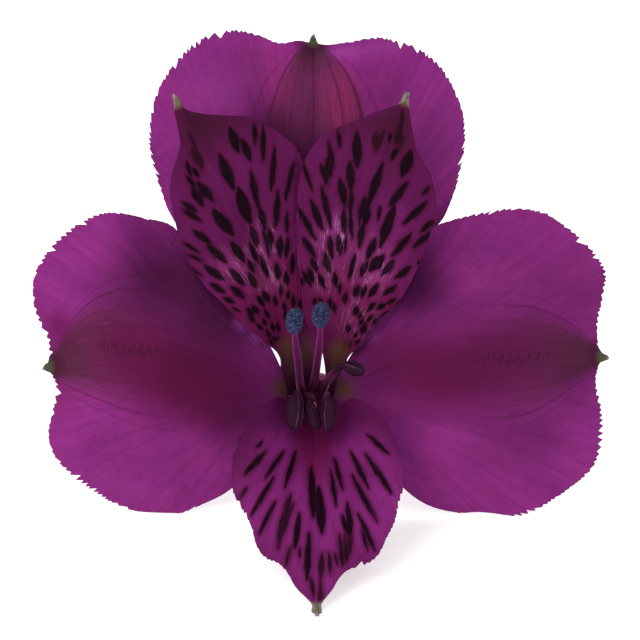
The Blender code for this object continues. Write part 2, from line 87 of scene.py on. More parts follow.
# Studio: sky, floor and soft lights, in metres
WHITE = (1.0, 1.0, 1.0, 1.0)
SKY_STRENGTH = 0.7
FLOOR_DROP = 0.0001
# The floor glows faintly, though it is no lamp, so that the shadows on it stay light.
FLOOR_GLOW = 0.4
# Name, place, width, power and colour of each soft light
SOFTBOXES = (
    ("key_light", (-0.85, -0.75, 1.05), 1.3, 17.0, (1.0, 0.99, 0.98)),
    ("fill_light", (1.1, -0.9, 0.8), 1.2, 5.0, (0.98, 0.99, 1.0)),
    ("back_light", (0.2, 1.1, 1.1), 1.0, 8.0, (1.0, 1.0, 1.0)),
)

# How each petal fans out from its claw, and how its sheet meets its margin
VIEWER = (0.0, 0.0, 1.0)
THROAT = 0.4
FAN_POWER = 1.5
RUFFLE_WAVES = 6.5
WAVE_LENGTH = 11.0
RAILS = ("left_rail", "middle_rail", "right_rail")
MARGIN_BLUR = 0.06
POINT_START = 0.8
POINT_SQUEEZE = 0.4

# Saw teeth: ranges of width, depth, lean and shoulder, and how their depth swings along a margin
TOOTH_WIDTHS = (0.45, 1.0)
TOOTH_DEPTHS = (0.35, 1.1)
TOOTH_LEAN = (0.62, 0.86)
TOOTH_SHOULDER = (0.35, 0.6)
SWING_MIDDLE = 0.68
SWING = 0.42
SWINGS = 2.6
CALM_CORNER = 0.04
TOOTH_FADE = 0.945
FULLNESS = 0.3

# Low relief of the petals: grooves at shares of the panel's half width, how wide the middle one and the
# others are, and how many pleats lie between the corners
GROOVES = (-1.0, -0.66, -0.33, 0.0, 0.33, 0.66, 1.0)
MIDDLE_GROOVE = 0.34
SIDE_GROOVE = 0.2
PLEATS = 21

# Distance between a panel's half widths, and how far its middle line is smoothed
PANEL_STEP = 4.0
PANEL_BLUR = (-1.5, -0.5, 0.5, 1.5)

# Dark marks: the depth far from all of them, and how far their outlines wander
FAR_FROM_MARKS = -3.0
MARK_WARP = 0.03

# Anthers: how deep a filament reaches in, furrow, seams and end notches, and the pollen on open ones
ANTHER_SEAT = 0.8
FURROW_WIDTH = 0.3
FURROW_DEPTH = 0.26
SEAM_PLACE = 0.52
SEAM_HEIGHT = 0.03
NOTCH_DEPTH = 0.12
POLLEN_DEPTH = 0.08
GOLDEN_SHARE = 3 - math.sqrt(5)
GRAIN_SCATTER = 0.03
GRAIN_STRETCH = (0.7, 1.25)
# How far each closed anther is turned about its length, so that its furrow faces its neighbour
FURROW_TURN = {"lower_left": 1.0, "lower_middle": 1.3, "lower_right": -1.15, "right": -0.7}

# How dark filaments and style are, and the shares of the ovary and of the stalk that close their ends
OPEN_DARKNESS = 0.15
CLOSED_DARKNESS = 0.7
STYLE_DARKNESS = 0.65
OVARY_CAP = 0.12
STALK_CAP = 0.02
CUT_SHARE = 0.019

# Patterns of the skins: counts across a petal, stretch along it and thinness of the lines
LOBE_VEINS = {"Count": 70.0, "Stretch": 3.0, "Thin": 0.05}
MAIN_VEINS = {"Count": 26.0, "Stretch": 2.2, "Thin": 0.035}
PANEL_FIBRES = {"Count": 9.0, "Stretch": 0.12, "Thin": 0.06}
INNER_VEINS = {"Count": 60.0, "Stretch": 4.0, "Thin": 0.06}
GLINT_LINES = {"Count": 80.0, "Stretch": 13.0, "Thin": 0.04}
SHADES_TO_LINES = 0.22
FIBRES_TO_LINES = 3.4
FEATHERS_ACROSS = 170.0
FEATHERS_ALONG = 16.0
CORE_EDGE = (-0.19, 0.1)
SPARKLE_SCALE = 0.9
MOTTLE_SCALE = 0.11
DRIFT_SCALE = 0.022
FLECKS_ALONG = 4.6
FLECKS_ACROSS = 1.2
PANEL_SWAY = 0.14
BACK_EDGE = (0.88, 1.0)
STALK_FIBRES = 9.0
SHEEN_ROUGHNESS = 0.4
# The stalk's wet cut and the floor's mottle, as the eye reads them on a screen
PITH = (186, 196, 140)
FLOOR_GREY = (220, 220, 222)

# Middle panels of the outer petals: edge, fade from the point, reach and strength of their marks, warmth
TOP_PANEL = {
    "edge": (0.8, 1.2),
    "fade": (10.0, 24.0),
    "gloom": 5.5,
    "flecked": 0.25,
    "warmth": "panel_rose",
}
SIDE_PANEL = {
    "edge": (0.45, 1.25),
    "fade": (5.0, 17.0),
    "gloom": 9.5,
    "flecked": 0.85,
    "warmth": "panel_warm",
}

# What the petals of one kind share, where a petal has nothing else: the depth in millimetres of teeth,
# broad waves, ruffle, grooves and pleats, how far the teeth stay away from the point and from either
# corner, the panel's middle line and half widths, the rows along the blade and the shades it is painted with
KINDS = {
    "outer": {
        "tooth": 0.66,
        "wave": 0.5,
        "ruffle": 0.35,
        "groove_depth": 0.07,
        "pleat_depth": 0.035,
        "calm_point": 0.015,
        "toothed_from": (0.19, 0.19),
        "rows": ((0.0, 0.4, 14), (0.4, 0.93, 68), (0.93, 1.0, 14)),
        "shades": ("warm", "deep", "olive", "pale"),
    },
    "inner": {
        "tooth": 0.1,
        "wave": 0.14,
        "ruffle": 0.12,
        "groove_depth": 0.03,
        "pleat_depth": 0.03,
        "calm_point": 0.09,
        "toothed_from": (0.19, 0.19),
        "middle": ((0.0, 0.0), (30.0, 0.0)),
        "half_widths": (0.25, 2.0, 3.0, 3.6, 4.0, 4.0, 4.0, 4.0),
        "rows": ((0.0, 0.4, 14), (0.4, 0.94, 122), (0.94, 1.0, 14)),
        "shades": ("warm", "deep", "olive", "pale", "light"),
    },
}

# Every petal, as the solids have it: three rails from the claw's foot to the corners and the point of
# the blade, and the margins between a corner and the point. The way in from the point follows, with the
# panel's middle line as (distance from the point, offset) and its half widths, PANEL_STEP apart.
PETALS = {
    "tepal_outer_top": {
        "left_rail": (
            (-1.45, -1.3, -16.6), (-1.7, 0.5, -11.9), (-1.95, 2.7, -8.1), (-3.9, 6.6, -6.4),
            (-6.9, 10.4, -5.7), (-10.4, 14.0, -5.6),
        ),
        "middle_rail": (
            (-0.7, -1.25, -16.6), (-0.85, 0.5, -11.9), (-0.95, 2.7, -7.9), (-0.7, 11.0, -4.8),
            (-0.4, 24.0, -3.2), (-0.3, 38.1, -5.0),
        ),
        "right_rail": (
            (0.05, -1.2, -16.6), (0.0, 0.5, -11.9), (0.05, 2.7, -8.1), (2.4, 6.6, -6.4), (5.8, 10.4, -5.7),
            (10.0, 13.9, -5.6),
        ),
        "left_margin": (
            (-14.0, 16.0, -5.8), (-16.2, 17.4, -5.8), (-17.4, 19.9, -5.8), (-18.4, 22.8, -5.9),
            (-19.0, 26.2, -5.9), (-18.7, 29.6, -5.9), (-17.5, 32.4, -5.7), (-15.3, 35.5, -5.5),
            (-12.6, 37.7, -5.2), (-9.6, 38.5, -5.0), (-6.8, 38.0, -4.7), (-4.2, 37.0, -4.4),
            (-2.2, 37.4, -4.5), (-0.9, 37.2, -4.7),
        ),
        "right_margin": (
            (0.3, 37.1, -4.7), (1.9, 36.9, -4.5), (3.6, 37.0, -4.4), (6.8, 37.6, -4.7), (9.5, 37.2, -5.0),
            (12.0, 36.2, -5.2), (14.2, 34.2, -5.5), (15.7, 31.4, -5.7), (16.6, 28.5, -5.8),
            (16.8, 25.4, -5.8), (16.2, 21.8, -5.8), (14.8, 17.9, -5.8), (13.2, 16.0, -5.8),
        ),
        "inward": (0.0, -1.0),
        "seed": 3,
        "middle": ((0.0, 0.0), (2.0, 0.1), (8.0, 0.35), (40.0, 0.0)),
        "half_widths": (0.25, 3.3, 4.9, 5.5, 5.6, 5.6, 5.5, 5.4),
        "calm_point": 0.03,
    },
    "tepal_outer_left": {
        "left_rail": (
            (-2.1, -5.45, -17.05), (-2.75, -5.3, -11.5), (-3.7, -4.7, -7.4), (-5.1, -7.2, -6.0),
            (-6.7, -9.6, -5.8), (-8.2, -12.2, -6.2),
        ),
        "middle_rail": (
            (-2.48, -4.8, -17.05), (-3.2, -4.1, -11.5), (-4.3, -2.4, -6.8), (-11.0, -0.9, -2.4),
            (-21.0, -0.1, -1.0), (-31.0, 0.3, -3.6),
        ),
        "right_rail": (
            (-2.85, -4.15, -17.05), (-3.4, -2.9, -11.5), (-4.1, 0.0, -7.2), (-5.2, 2.5, -5.8),
            (-6.6, 5.2, -4.8), (-8.8, 8.2, -4.2),
        ),
        "left_margin": (
            (-9.8, -13.6, -6.6), (-11.5, -14.7, -6.9), (-13.7, -15.6, -7.3), (-16.0, -16.3, -7.6),
            (-18.4, -16.5, -7.6), (-20.8, -16.0, -7.5), (-23.7, -15.0, -7.0), (-26.2, -13.3, -6.3),
            (-28.2, -11.5, -5.6), (-29.8, -9.4, -5.0), (-30.3, -7.0, -4.4), (-29.7, -4.8, -3.9),
            (-29.3, -2.6, -3.4), (-29.7, -0.9, -3.3),
        ),
        "right_margin": (
            (-30.3, 1.2, -3.3), (-30.2, 3.2, -3.3), (-31.2, 5.2, -3.6), (-32.0, 7.6, -3.9),
            (-32.1, 10.4, -4.2), (-31.0, 12.7, -4.4), (-29.2, 14.8, -4.6), (-27.4, 16.3, -4.7),
            (-25.0, 17.3, -4.9), (-22.3, 17.6, -5.0), (-19.6, 17.2, -5.0), (-16.4, 16.5, -4.7),
            (-14.3, 14.2, -4.4), (-11.4, 10.8, -4.3),
        ),
        "inward": (1.0, 0.0),
        "seed": 5,
        "middle": (
            (0.0, 0.0), (4.0, 1.9), (7.0, 2.25), (10.0, 2.0), (14.5, 1.45), (20.0, 0.4), (25.0, -0.9),
            (30.0, -2.6),
        ),
        "half_widths": (0.25, 4.3, 6.4, 7.0, 7.0, 6.2, 5.0, 4.0),
        "toothed_from": (0.19, 0.26),
    },
    "tepal_outer_right": {
        "left_rail": (
            (2.05, -4.15, -17.05), (2.45, -2.9, -11.5), (2.95, -0.5, -7.6), (4.3, 1.8, -6.7),
            (5.5, 4.8, -5.6), (8.0, 8.0, -4.2),
        ),
        "middle_rail": (
            (1.68, -4.8, -17.05), (2.2, -4.1, -11.5), (3.2, -2.6, -6.8), (11.0, -1.0, -2.4),
            (22.0, 0.4, -1.0), (33.2, 1.5, -3.6),
        ),
        "right_rail": (
            (1.3, -5.45, -17.05), (1.9, -5.3, -11.5), (2.9, -4.7, -7.4), (4.6, -7.2, -6.0), (6.6, -9.6, -5.8),
            (8.4, -12.0, -6.2),
        ),
        "left_margin": (
            (10.4, 11.6, -4.2), (12.8, 15.7, -4.2), (15.6, 17.0, -4.6), (18.9, 17.8, -5.0),
            (22.5, 18.2, -5.0), (25.9, 17.8, -4.9), (27.2, 16.9, -4.8), (28.9, 15.7, -4.7),
            (31.2, 13.4, -4.6), (32.7, 11.0, -4.3), (32.4, 8.2, -3.9), (31.8, 5.2, -3.5), (31.9, 2.9, -3.4),
        ),
        "right_margin": (
            (32.0, 0.5, -3.4), (31.6, -1.5, -3.6), (32.2, -4.1, -4.0), (32.5, -6.9, -4.6), (31.9, -9.4, -5.1),
            (30.8, -11.8, -5.6), (28.9, -13.6, -6.1), (26.2, -15.2, -6.6), (23.0, -16.4, -7.0),
            (19.8, -16.8, -7.15), (16.8, -16.4, -7.15), (13.4, -15.4, -7.0), (10.6, -13.9, -6.7),
        ),
        "inward": (-1.0, 0.0),
        "seed": 8,
        "middle": (
            (0.0, 0.0), (4.5, 0.1), (8.5, -0.25), (12.0, -0.4), (20.0, -0.2), (26.0, -1.7), (30.0, -3.4),
        ),
        "half_widths": (0.25, 3.4, 5.6, 6.35, 6.2, 5.6, 4.4, 3.0),
        "toothed_from": (0.3, 0.19),
    },
    "tepal_inner_left": {
        "left_rail": (
            (-2.85, -3.2, -16.8), (-4.1, -1.9, -11.5), (-4.0, 1.3, -6.3), (-5.3, 2.75, -4.0),
            (-7.6, 4.6, -2.2), (-10.4, 7.3, -1.2),
        ),
        "middle_rail": (
            (-2.39, -2.45, -16.8), (-2.85, -0.75, -11.5), (-3.3, 2.2, -6.2), (-5.4, 9.5, -2.0),
            (-9.7, 20.0, 1.6), (-16.1, 31.1, 2.4),
        ),
        "right_rail": (
            (-1.9, -1.8, -16.8), (-2.1, -0.1, -11.5), (-2.1, 2.9, -6.2), (-1.5, 6.4, -3.9), (-1.2, 9.9, -2.6),
            (-1.2, 13.5, -1.3),
        ),
        "left_margin": (
            (-12.4, 9.3, -0.4), (-14.0, 11.6, 0.3), (-15.0, 13.9, 0.8), (-15.9, 16.7, 1.4),
            (-16.4, 19.8, 1.9), (-16.2, 22.2, 2.2), (-15.3, 25.2, 2.4), (-15.6, 27.4, 2.4),
            (-16.0, 29.2, 2.4),
        ),
        "right_margin": (
            (-14.8, 29.5, 2.3), (-12.8, 28.9, 2.2), (-10.2, 28.7, 2.0), (-7.6, 28.5, 1.7), (-5.4, 27.6, 1.5),
            (-3.6, 26.4, 1.3), (-2.2, 25.0, 1.0), (-1.1, 22.3, 0.5), (-0.9, 18.0, -0.4),
        ),
        "inward": (0.5, -0.866),
        "seed": 13,
    },
    "tepal_inner_right": {
        "left_rail": (
            (1.25, -1.85, -16.8), (1.2, -0.1, -11.5), (0.65, 2.5, -6.4), (-1.3, 6.0, -3.3), (-1.6, 9.4, -1.2),
            (-2.1, 13.5, 0.4),
        ),
        "middle_rail": (
            (1.6, -2.5, -16.8), (2.0, -0.75, -11.5), (2.4, 2.0, -6.3), (3.4, 9.5, -1.6), (6.3, 20.0, 2.4),
            (10.4, 31.4, 3.2),
        ),
        "right_rail": (
            (1.98, -3.15, -16.8), (2.9, -1.25, -11.5), (3.68, 1.4, -6.2), (5.46, 3.2, -4.0), (6.6, 5.2, -2.2),
            (8.6, 7.0, -1.2),
        ),
        "left_margin": (
            (-2.2, 17.6, 1.2), (-1.9, 21.2, 1.8), (-1.2, 23.8, 2.2), (0.3, 26.0, 2.5), (1.9, 27.1, 2.8),
            (4.5, 28.1, 3.0), (6.6, 29.0, 3.1), (9.2, 30.0, 3.2),
        ),
        "right_margin": (
            (10.5, 29.6, 3.3), (10.8, 27.1, 3.3), (11.4, 24.6, 3.2), (12.8, 22.2, 3.0), (13.5, 19.2, 2.4),
            (13.3, 16.7, 1.8), (12.3, 13.7, 1.0), (11.4, 11.4, 0.4), (10.1, 8.9, -0.4),
        ),
        "inward": (-0.3, -0.954),
        "seed": 21,
    },
    "tepal_inner_lower": {
        "left_rail": (
            (0.35, -5.95, -17.15), (0.8, -5.95, -11.5), (2.2, -4.95, -6.2), (4.35, -3.3, -2.9),
            (7.0, -4.8, -0.6), (8.9, -7.7, 1.2),
        ),
        "middle_rail": (
            (-0.4, -5.97, -17.15), (-0.35, -6.2, -11.5), (-0.1, -6.9, -6.2), (0.1, -11.0, 0.6),
            (0.1, -19.0, 7.4), (0.05, -27.55, 12.1),
        ),
        "right_rail": (
            (-1.15, -5.95, -17.15), (-1.7, -5.8, -11.5), (-2.85, -4.7, -6.2), (-4.45, -3.15, -2.9),
            (-6.7, -4.8, -0.6), (-8.7, -7.7, 1.2),
        ),
        "left_margin": (
            (9.6, -10.2, 2.2), (9.8, -13.0, 3.5), (9.3, -15.0, 4.5), (8.8, -17.0, 5.5), (7.9, -18.7, 6.5),
            (7.0, -20.5, 7.5), (5.6, -21.6, 8.3), (3.6, -22.3, 9.0), (2.6, -23.2, 9.7), (1.7, -24.6, 10.5),
            (0.6, -25.9, 11.2), (0.3, -27.2, 11.8),
        ),
        "right_margin": (
            (-0.22, -27.1, 11.85), (-0.5, -25.9, 11.3), (-2.2, -24.2, 10.3), (-3.2, -22.6, 9.4),
            (-4.2, -21.5, 8.6), (-5.6, -20.9, 7.9), (-6.6, -19.6, 6.9), (-7.35, -17.2, 5.6),
            (-8.6, -15.0, 4.5), (-9.4, -13.2, 3.5), (-9.4, -10.3, 2.2),
        ),
        "inward": (0.0, 1.0),
        "seed": 34,
        "tooth": 0.34,
        "wave": 0.15,
        "ruffle": 0.15,
        "calm_point": 0.1,
    },
}


def whole_petal(name, petal):
    """A petal's own measures with its kind's, and its margins joined to its corners and its point."""
    left, point, right = (petal[rail][-1] for rail in RAILS)
    margins = {
        "left_margin": (left, *petal["left_margin"], point),
        "right_margin": (point, *petal["right_margin"], right),
    }
    return {**KINDS["outer" if "outer" in name else "inner"], **petal, **margins}


PETALS = {name: whole_petal(name, petal) for name, petal in PETALS.items()}

# The dark streaks of the inner petals, read one by one: outer end (u, v), inner end (u, v) and width
STREAKS = {
    "tepal_inner_left": (
        (-9.7, 27.3, -8.8, 24.6, 1.02), (-8.4, 26.0, -7.4, 23.6, 0.79), (-6.9, 28.0, -6.9, 25.3, 0.45),
        (-6.0, 27.6, -6.0, 23.4, 0.51), (-4.7, 25.2, -5.1, 20.3, 0.57), (-2.5, 23.5, -3.5, 19.2, 0.51),
        (-10.9, 24.3, -9.3, 20.5, 1.13), (-7.4, 22.5, -6.5, 18.3, 0.68), (-4.3, 20.3, -4.6, 16.2, 0.62),
        (-8.8, 20.5, -7.5, 16.7, 1.3), (-14.6, 23.5, -14.1, 21.9, 0.45), (-13.9, 22.8, -13.2, 21.7, 0.51),
        (-14.6, 21.9, -13.6, 20.6, 0.45), (-13.4, 21.2, -11.6, 19.1, 0.9), (-14.0, 20.5, -12.7, 18.6, 0.9),
        (-15.1, 19.1, -13.4, 17.9, 0.51), (-15.1, 18.2, -12.9, 16.8, 0.57), (-11.6, 18.0, -9.4, 15.3, 1.13),
        (-13.8, 15.8, -11.9, 14.4, 0.73), (-15.0, 14.4, -13.1, 13.3, 0.45), (-14.7, 13.1, -12.7, 12.4, 0.34),
        (-14.0, 11.5, -12.8, 10.6, 0.23), (-12.2, 14.1, -10.2, 12.3, 0.79), (-9.6, 14.5, -8.2, 12.3, 0.85),
        (-6.4, 18.4, -5.7, 15.9, 0.68), (-7.3, 16.2, -6.7, 14.0, 0.79), (-6.0, 16.0, -5.3, 12.9, 0.28),
        (-5.4, 16.0, -5.0, 13.8, 0.62), (-7.6, 14.4, -6.7, 12.2, 0.62), (-4.1, 15.1, -4.1, 12.8, 0.68),
        (-3.2, 15.0, -3.4, 12.8, 0.51), (-3.3, 17.9, -3.3, 15.6, 0.36), (-2.6, 13.2, -2.7, 11.1, 0.57),
        (-6.3, 12.9, -5.5, 10.6, 0.62), (-4.5, 12.1, -4.3, 10.3, 0.57), (-7.7, 12.4, -7.1, 11.1, 0.57),
        (-12.5, 11.8, -10.4, 10.3, 0.73), (-9.7, 11.4, -8.3, 9.7, 0.73), (-7.7, 11.0, -6.8, 9.3, 0.73),
        (-11.9, 9.8, -10.3, 8.8, 0.57), (-3.4, 11.1, -3.3, 9.7, 0.57), (-9.6, 9.5, -8.2, 8.2, 0.73),
        (-10.4, 8.2, -9.3, 7.7, 0.57), (-9.5, 7.1, -8.6, 6.7, 0.34), (-4.0, 9.7, -4.0, 8.5, 0.45),
        (-3.2, 9.0, -3.2, 8.1, 0.4), (-6.1, 8.9, -5.5, 7.8, 0.62), (-6.7, 8.4, -6.0, 7.3, 0.62),
        (-4.7, 8.4, -4.6, 7.3, 0.51), (-3.7, 7.7, -3.5, 6.7, 0.45), (-2.6, 8.5, -2.6, 7.2, 0.45),
        (-1.9, 7.9, -1.5, 7.1, 0.68), (-7.3, 7.3, -6.7, 6.5, 0.57), (-7.9, 7.0, -7.2, 6.2, 0.57),
        (-7.6, 6.1, -7.1, 5.5, 0.45), (-5.9, 6.8, -5.4, 5.9, 0.45), (-3.6, 6.6, -3.5, 5.8, 0.34),
        (-6.1, 5.8, -5.8, 5.1, 0.4), (-6.7, 5.2, -6.2, 4.7, 0.4), (-5.1, 5.4, -4.9, 4.5, 0.45),
        (-4.5, 5.4, -4.4, 4.5, 0.34), (-5.7, 4.5, -5.3, 3.8, 0.34), (-5.0, 3.8, -4.7, 3.3, 0.34),
        (-4.5, 3.8, -4.4, 3.4, 0.28), (-5.4, 3.6, -5.0, 2.8, 0.28),
    ),
    "tepal_inner_right": (
        (2.5, 27.0, 2.7, 25.1, 0.45), (4.6, 26.8, 4.7, 22.9, 1.02), (9.2, 25.1, 8.5, 23.6, 0.51),
        (8.4, 26.7, 8.2, 25.7, 0.28), (10.7, 24.7, 9.7, 21.9, 1.24), (1.4, 25.9, 2.0, 22.8, 0.51),
        (1.2, 24.0, 1.7, 21.7, 0.57), (0.6, 23.2, 1.4, 20.8, 0.62), (-1.5, 23.4, -0.3, 20.2, 0.45),
        (0.7, 20.7, 1.7, 16.0, 0.57), (-0.5, 19.2, 0.8, 15.7, 0.68), (-2.0, 18.4, 0.0, 14.7, 0.57),
        (2.7, 21.5, 3.3, 18.5, 0.79), (3.8, 23.4, 4.0, 20.3, 0.9), (4.1, 20.6, 3.8, 17.4, 0.4),
        (7.5, 23.3, 5.9, 18.6, 0.9), (5.5, 19.5, 5.7, 16.6, 1.19), (10.3, 21.2, 8.2, 18.5, 0.79),
        (8.8, 18.6, 7.3, 14.0, 1.02), (12.9, 20.7, 11.9, 19.7, 0.4), (12.5, 19.0, 9.8, 16.5, 0.68),
        (7.3, 18.5, 7.0, 16.9, 0.34), (13.3, 16.9, 11.8, 15.7, 0.57), (13.0, 15.5, 11.0, 13.9, 0.57),
        (10.7, 15.4, 8.6, 12.9, 0.73), (3.1, 18.3, 3.2, 15.4, 0.57), (3.9, 17.9, 4.0, 14.9, 0.51),
        (5.4, 16.8, 4.9, 13.8, 0.68), (4.9, 18.5, 4.9, 16.3, 0.28), (6.7, 14.8, 5.9, 12.7, 0.73),
        (7.6, 12.9, 6.2, 11.4, 1.19), (8.8, 12.4, 7.5, 10.8, 0.62), (10.7, 11.7, 8.9, 10.4, 0.62),
        (11.6, 12.3, 11.5, 12.0, 0.28), (-1.4, 14.9, 0.0, 12.7, 0.62), (1.5, 15.1, 1.8, 12.7, 0.62),
        (2.5, 15.3, 2.7, 13.1, 0.68), (3.4, 15.4, 3.2, 13.3, 0.34), (-0.6, 12.7, 0.1, 11.3, 0.57),
        (0.9, 13.3, 1.5, 11.1, 0.68), (4.5, 13.1, 3.8, 10.4, 0.62), (5.8, 12.4, 5.2, 10.7, 0.62),
        (-1.5, 11.2, -0.6, 9.6, 0.57), (-0.9, 11.5, -0.3, 10.1, 0.68), (-1.6, 10.5, -1.5, 9.7, 0.28),
        (0.3, 11.0, 0.9, 9.4, 0.57), (2.1, 11.1, 2.3, 9.4, 0.57), (2.7, 10.1, 2.7, 8.7, 0.34),
        (4.9, 9.6, 4.4, 8.4, 0.62), (5.7, 9.5, 5.2, 8.4, 0.62), (7.0, 9.8, 6.1, 8.4, 0.68),
        (9.0, 9.6, 7.7, 8.6, 0.57), (3.4, 8.8, 3.3, 7.6, 0.57), (9.0, 8.1, 7.9, 7.6, 0.45),
        (7.9, 7.6, 7.0, 7.0, 0.51), (6.8, 7.7, 5.9, 6.8, 0.57), (1.6, 8.2, 1.6, 7.1, 0.45),
        (2.1, 7.7, 2.1, 6.6, 0.4), (-0.2, 8.2, -0.2, 7.5, 0.45), (0.3, 8.2, 0.7, 7.8, 0.28),
        (4.7, 7.3, 4.5, 6.3, 0.68), (5.2, 6.6, 4.9, 5.9, 0.45), (8.1, 6.7, 7.3, 6.1, 0.4),
        (6.6, 6.2, 5.9, 5.7, 0.45), (7.2, 5.9, 6.6, 5.2, 0.4), (5.4, 5.9, 5.0, 5.2, 0.4),
        (5.7, 5.4, 5.1, 4.4, 0.45), (5.9, 5.0, 5.2, 4.2, 0.4), (3.8, 5.1, 3.7, 4.4, 0.57),
        (4.7, 4.2, 4.4, 3.8, 0.34), (5.0, 3.5, 4.6, 3.1, 0.28), (3.4, 3.2, 3.3, 2.6, 0.34),
        (4.0, 3.2, 3.8, 2.7, 0.28),
    ),
    "tepal_inner_lower": (
        (-6.1, -8.2, -6.8, -8.9, 0.27), (-5.7, -9.3, -8.0, -11.8, 0.5), (-3.8, -9.4, -5.7, -12.2, 0.5),
        (-2.4, -9.4, -3.5, -13.3, 0.5), (-7.7, -13.2, -8.7, -14.4, 0.32), (-4.8, -12.2, -7.2, -16.3, 0.46),
        (-4.6, -14.9, -6.3, -18.4, 0.41), (-1.9, -16.2, -2.3, -20.0, 0.58), (-1.8, -20.0, -1.8, -21.0, 0.27),
        (-0.6, -11.1, -0.3, -16.6, 0.77), (0.3, -13.3, 0.7, -18.3, 1.0), (-0.8, -18.4, -1.0, -23.4, 0.63),
        (1.7, -11.4, 2.3, -15.3, 0.41), (2.1, -10.1, 3.0, -13.4, 0.46), (4.0, -9.3, 5.9, -13.3, 0.46),
        (4.1, -12.0, 6.8, -17.1, 0.46), (5.9, -7.4, 8.2, -9.6, 0.41), (5.7, -9.6, 8.5, -13.9, 0.5),
        (4.7, -16.2, 6.6, -20.2, 0.41), (5.1, -17.7, 5.8, -20.2, 0.36), (3.5, -15.0, 4.0, -18.2, 0.58),
        (2.9, -16.4, 3.8, -18.8, 0.54),
    ),
}
# Softer, browner marks of the same kind
BLOTCHES = {
    "tepal_inner_left": (
        (-14.5, 27.1, -13.4, 24.9, 0.45), (-13.9, 25.1, -12.8, 22.8, 1.02),
    ),
    "tepal_inner_right": (
        (6.8, 26.9, 6.6, 25.0, 0.57), (7.7, 27.3, 6.7, 24.6, 0.57), (9.8, 29.4, 9.5, 27.0, 0.51),
        (9.3, 27.6, 9.4, 24.6, 1.02),
    ),
    "tepal_inner_lower": (
        (-2.9, -14.1, -4.2, -19.9, 0.82), (-2.5, -15.0, -3.4, -17.2, 0.36), (-2.8, -19.8, -3.3, -21.9, 0.41),
        (0.7, -20.6, 0.6, -23.3, 0.54), (1.4, -20.5, 1.6, -22.8, 0.41), (3.8, -18.1, 3.5, -21.2, 0.63),
        (2.6, -18.6, 2.9, -21.9, 0.54), (3.2, -18.4, 3.3, -21.5, 0.46), (2.1, -20.6, 2.3, -21.8, 0.27),
        (-0.7, -23.2, -0.2, -25.2, 0.36), (0.6, -23.5, 0.5, -25.7, 0.32),
    ),
}

# Ovary, stalk and style, as the solids have them, and the half sizes of the anthers
OVARY_TOP = (-0.4, -3.6, -17.3)
OVARY_AXIS = (0.0, 0.12, -0.99)
STALK_ROUTE = (
    (-0.4, 20.15, 3.25), (-0.75, 22.6, 2.3), (-1.25, 25.6, 1.6), (-1.75, 29.5, 1.22), (-2.1, 35.0, 1.13),
    (-1.8, 41.5, 1.12), (-0.9, 48.0, 1.12), (0.5, 56.0, 1.12), (1.3, 64.0, 1.12),
)
STYLE_ROUTE = (
    (-0.4, -3.6, -16.95), (-0.45, -3.4, -14.0), (-0.6, -3.1, -11.0), (-0.75, -2.9, -9.4),
)
CLOSED_ANTHER = (0.95, 2.15, 0.8)
OPEN_ANTHER = (1.0, 1.4, 0.85)

# Every stamen: its filament's route, then its anther's middle, long direction and half sizes
STAMENS = {
    "upper_left": {
        "route": (
            (-1.57, -2.9, -16.75), (-1.8, -1.7, -8.0), (-2.0, 0.5, -3.0), (-2.25, 2.6, 1.0),
            (-2.35, 3.75, 3.0),
        ),
        "anther": (-2.4, 5.55, 3.7), "along": (0.12, 1.0, 0.1), "size": OPEN_ANTHER,
    },
    "upper_right": {
        "route": (
            (-0.4, -2.3, -16.65), (-0.15, -1.2, -8.0), (0.15, 1.0, -2.6), (0.4, 3.0, 1.4), (0.48, 4.4, 3.4),
        ),
        "anther": (0.55, 6.2, 4.2), "along": (0.1, 1.0, 0.15), "size": OPEN_ANTHER,
    },
    "right": {
        "route": (
            (0.77, -2.9, -16.75), (1.1, -1.6, -9.0), (1.7, -0.7, -3.0), (2.4, 0.05, 0.1), (2.8, 0.4, 1.35),
        ),
        "anther": (4.3, 0.2, 2.2), "along": (1.0, -0.35, 0.25), "size": (0.85, 1.3, 0.75),
    },
    "lower_left": {
        "route": ((-1.5, -4.25, -16.95), (-1.9, -3.6, -9.0), (-2.2, -2.7, -2.6), (-2.25, -2.3, 0.6)),
        "anther": (-2.4, -4.6, 1.9), "along": (0.08, 1.0, -0.25), "size": CLOSED_ANTHER,
    },
    "lower_middle": {
        "route": ((-0.4, -4.85, -17.0), (-0.4, -4.3, -9.0), (-0.45, -3.6, -3.0), (-0.5, -3.2, -0.4)),
        "anther": (-0.42, -5.1, 1.0), "along": (-0.42, 1.0, -0.3), "size": (0.8, 1.8, 0.7),
    },
    "lower_right": {
        "route": ((0.72, -4.25, -16.95), (1.1, -3.6, -9.0), (1.35, -2.9, -2.6), (1.4, -2.6, 0.6)),
        "anther": (1.45, -4.9, 2.2), "along": (0.05, 1.0, -0.25), "size": (0.85, 2.1, 0.75),
    },
}

# Veins of a panel: place across it, where 1 is its edge, half width on the same scale, and strength
TOP_VEINS = (
    (-1.38, 0.07, 0.45), (-1.0, 0.08, 0.75), (-0.8, 0.04, 0.25), (-0.56, 0.07, 0.45), (-0.07, 0.06, 0.85),
    (0.04, 0.04, 0.35), (0.3, 0.04, 0.3), (0.57, 0.08, 0.75), (0.8, 0.04, 0.3), (1.0, 0.085, 0.95),
    (1.36, 0.06, 0.35),
)
SIDE_VEINS = (
    (-1.2, 0.035, 0.35), (-1.0, 0.045, 0.7), (-0.8, 0.03, 0.4), (-0.56, 0.035, 0.5), (-0.3, 0.03, 0.4),
    (0.02, 0.04, 0.45), (0.38, 0.04, 0.6), (0.7, 0.035, 0.5), (1.0, 0.045, 0.7), (1.2, 0.035, 0.35),
)
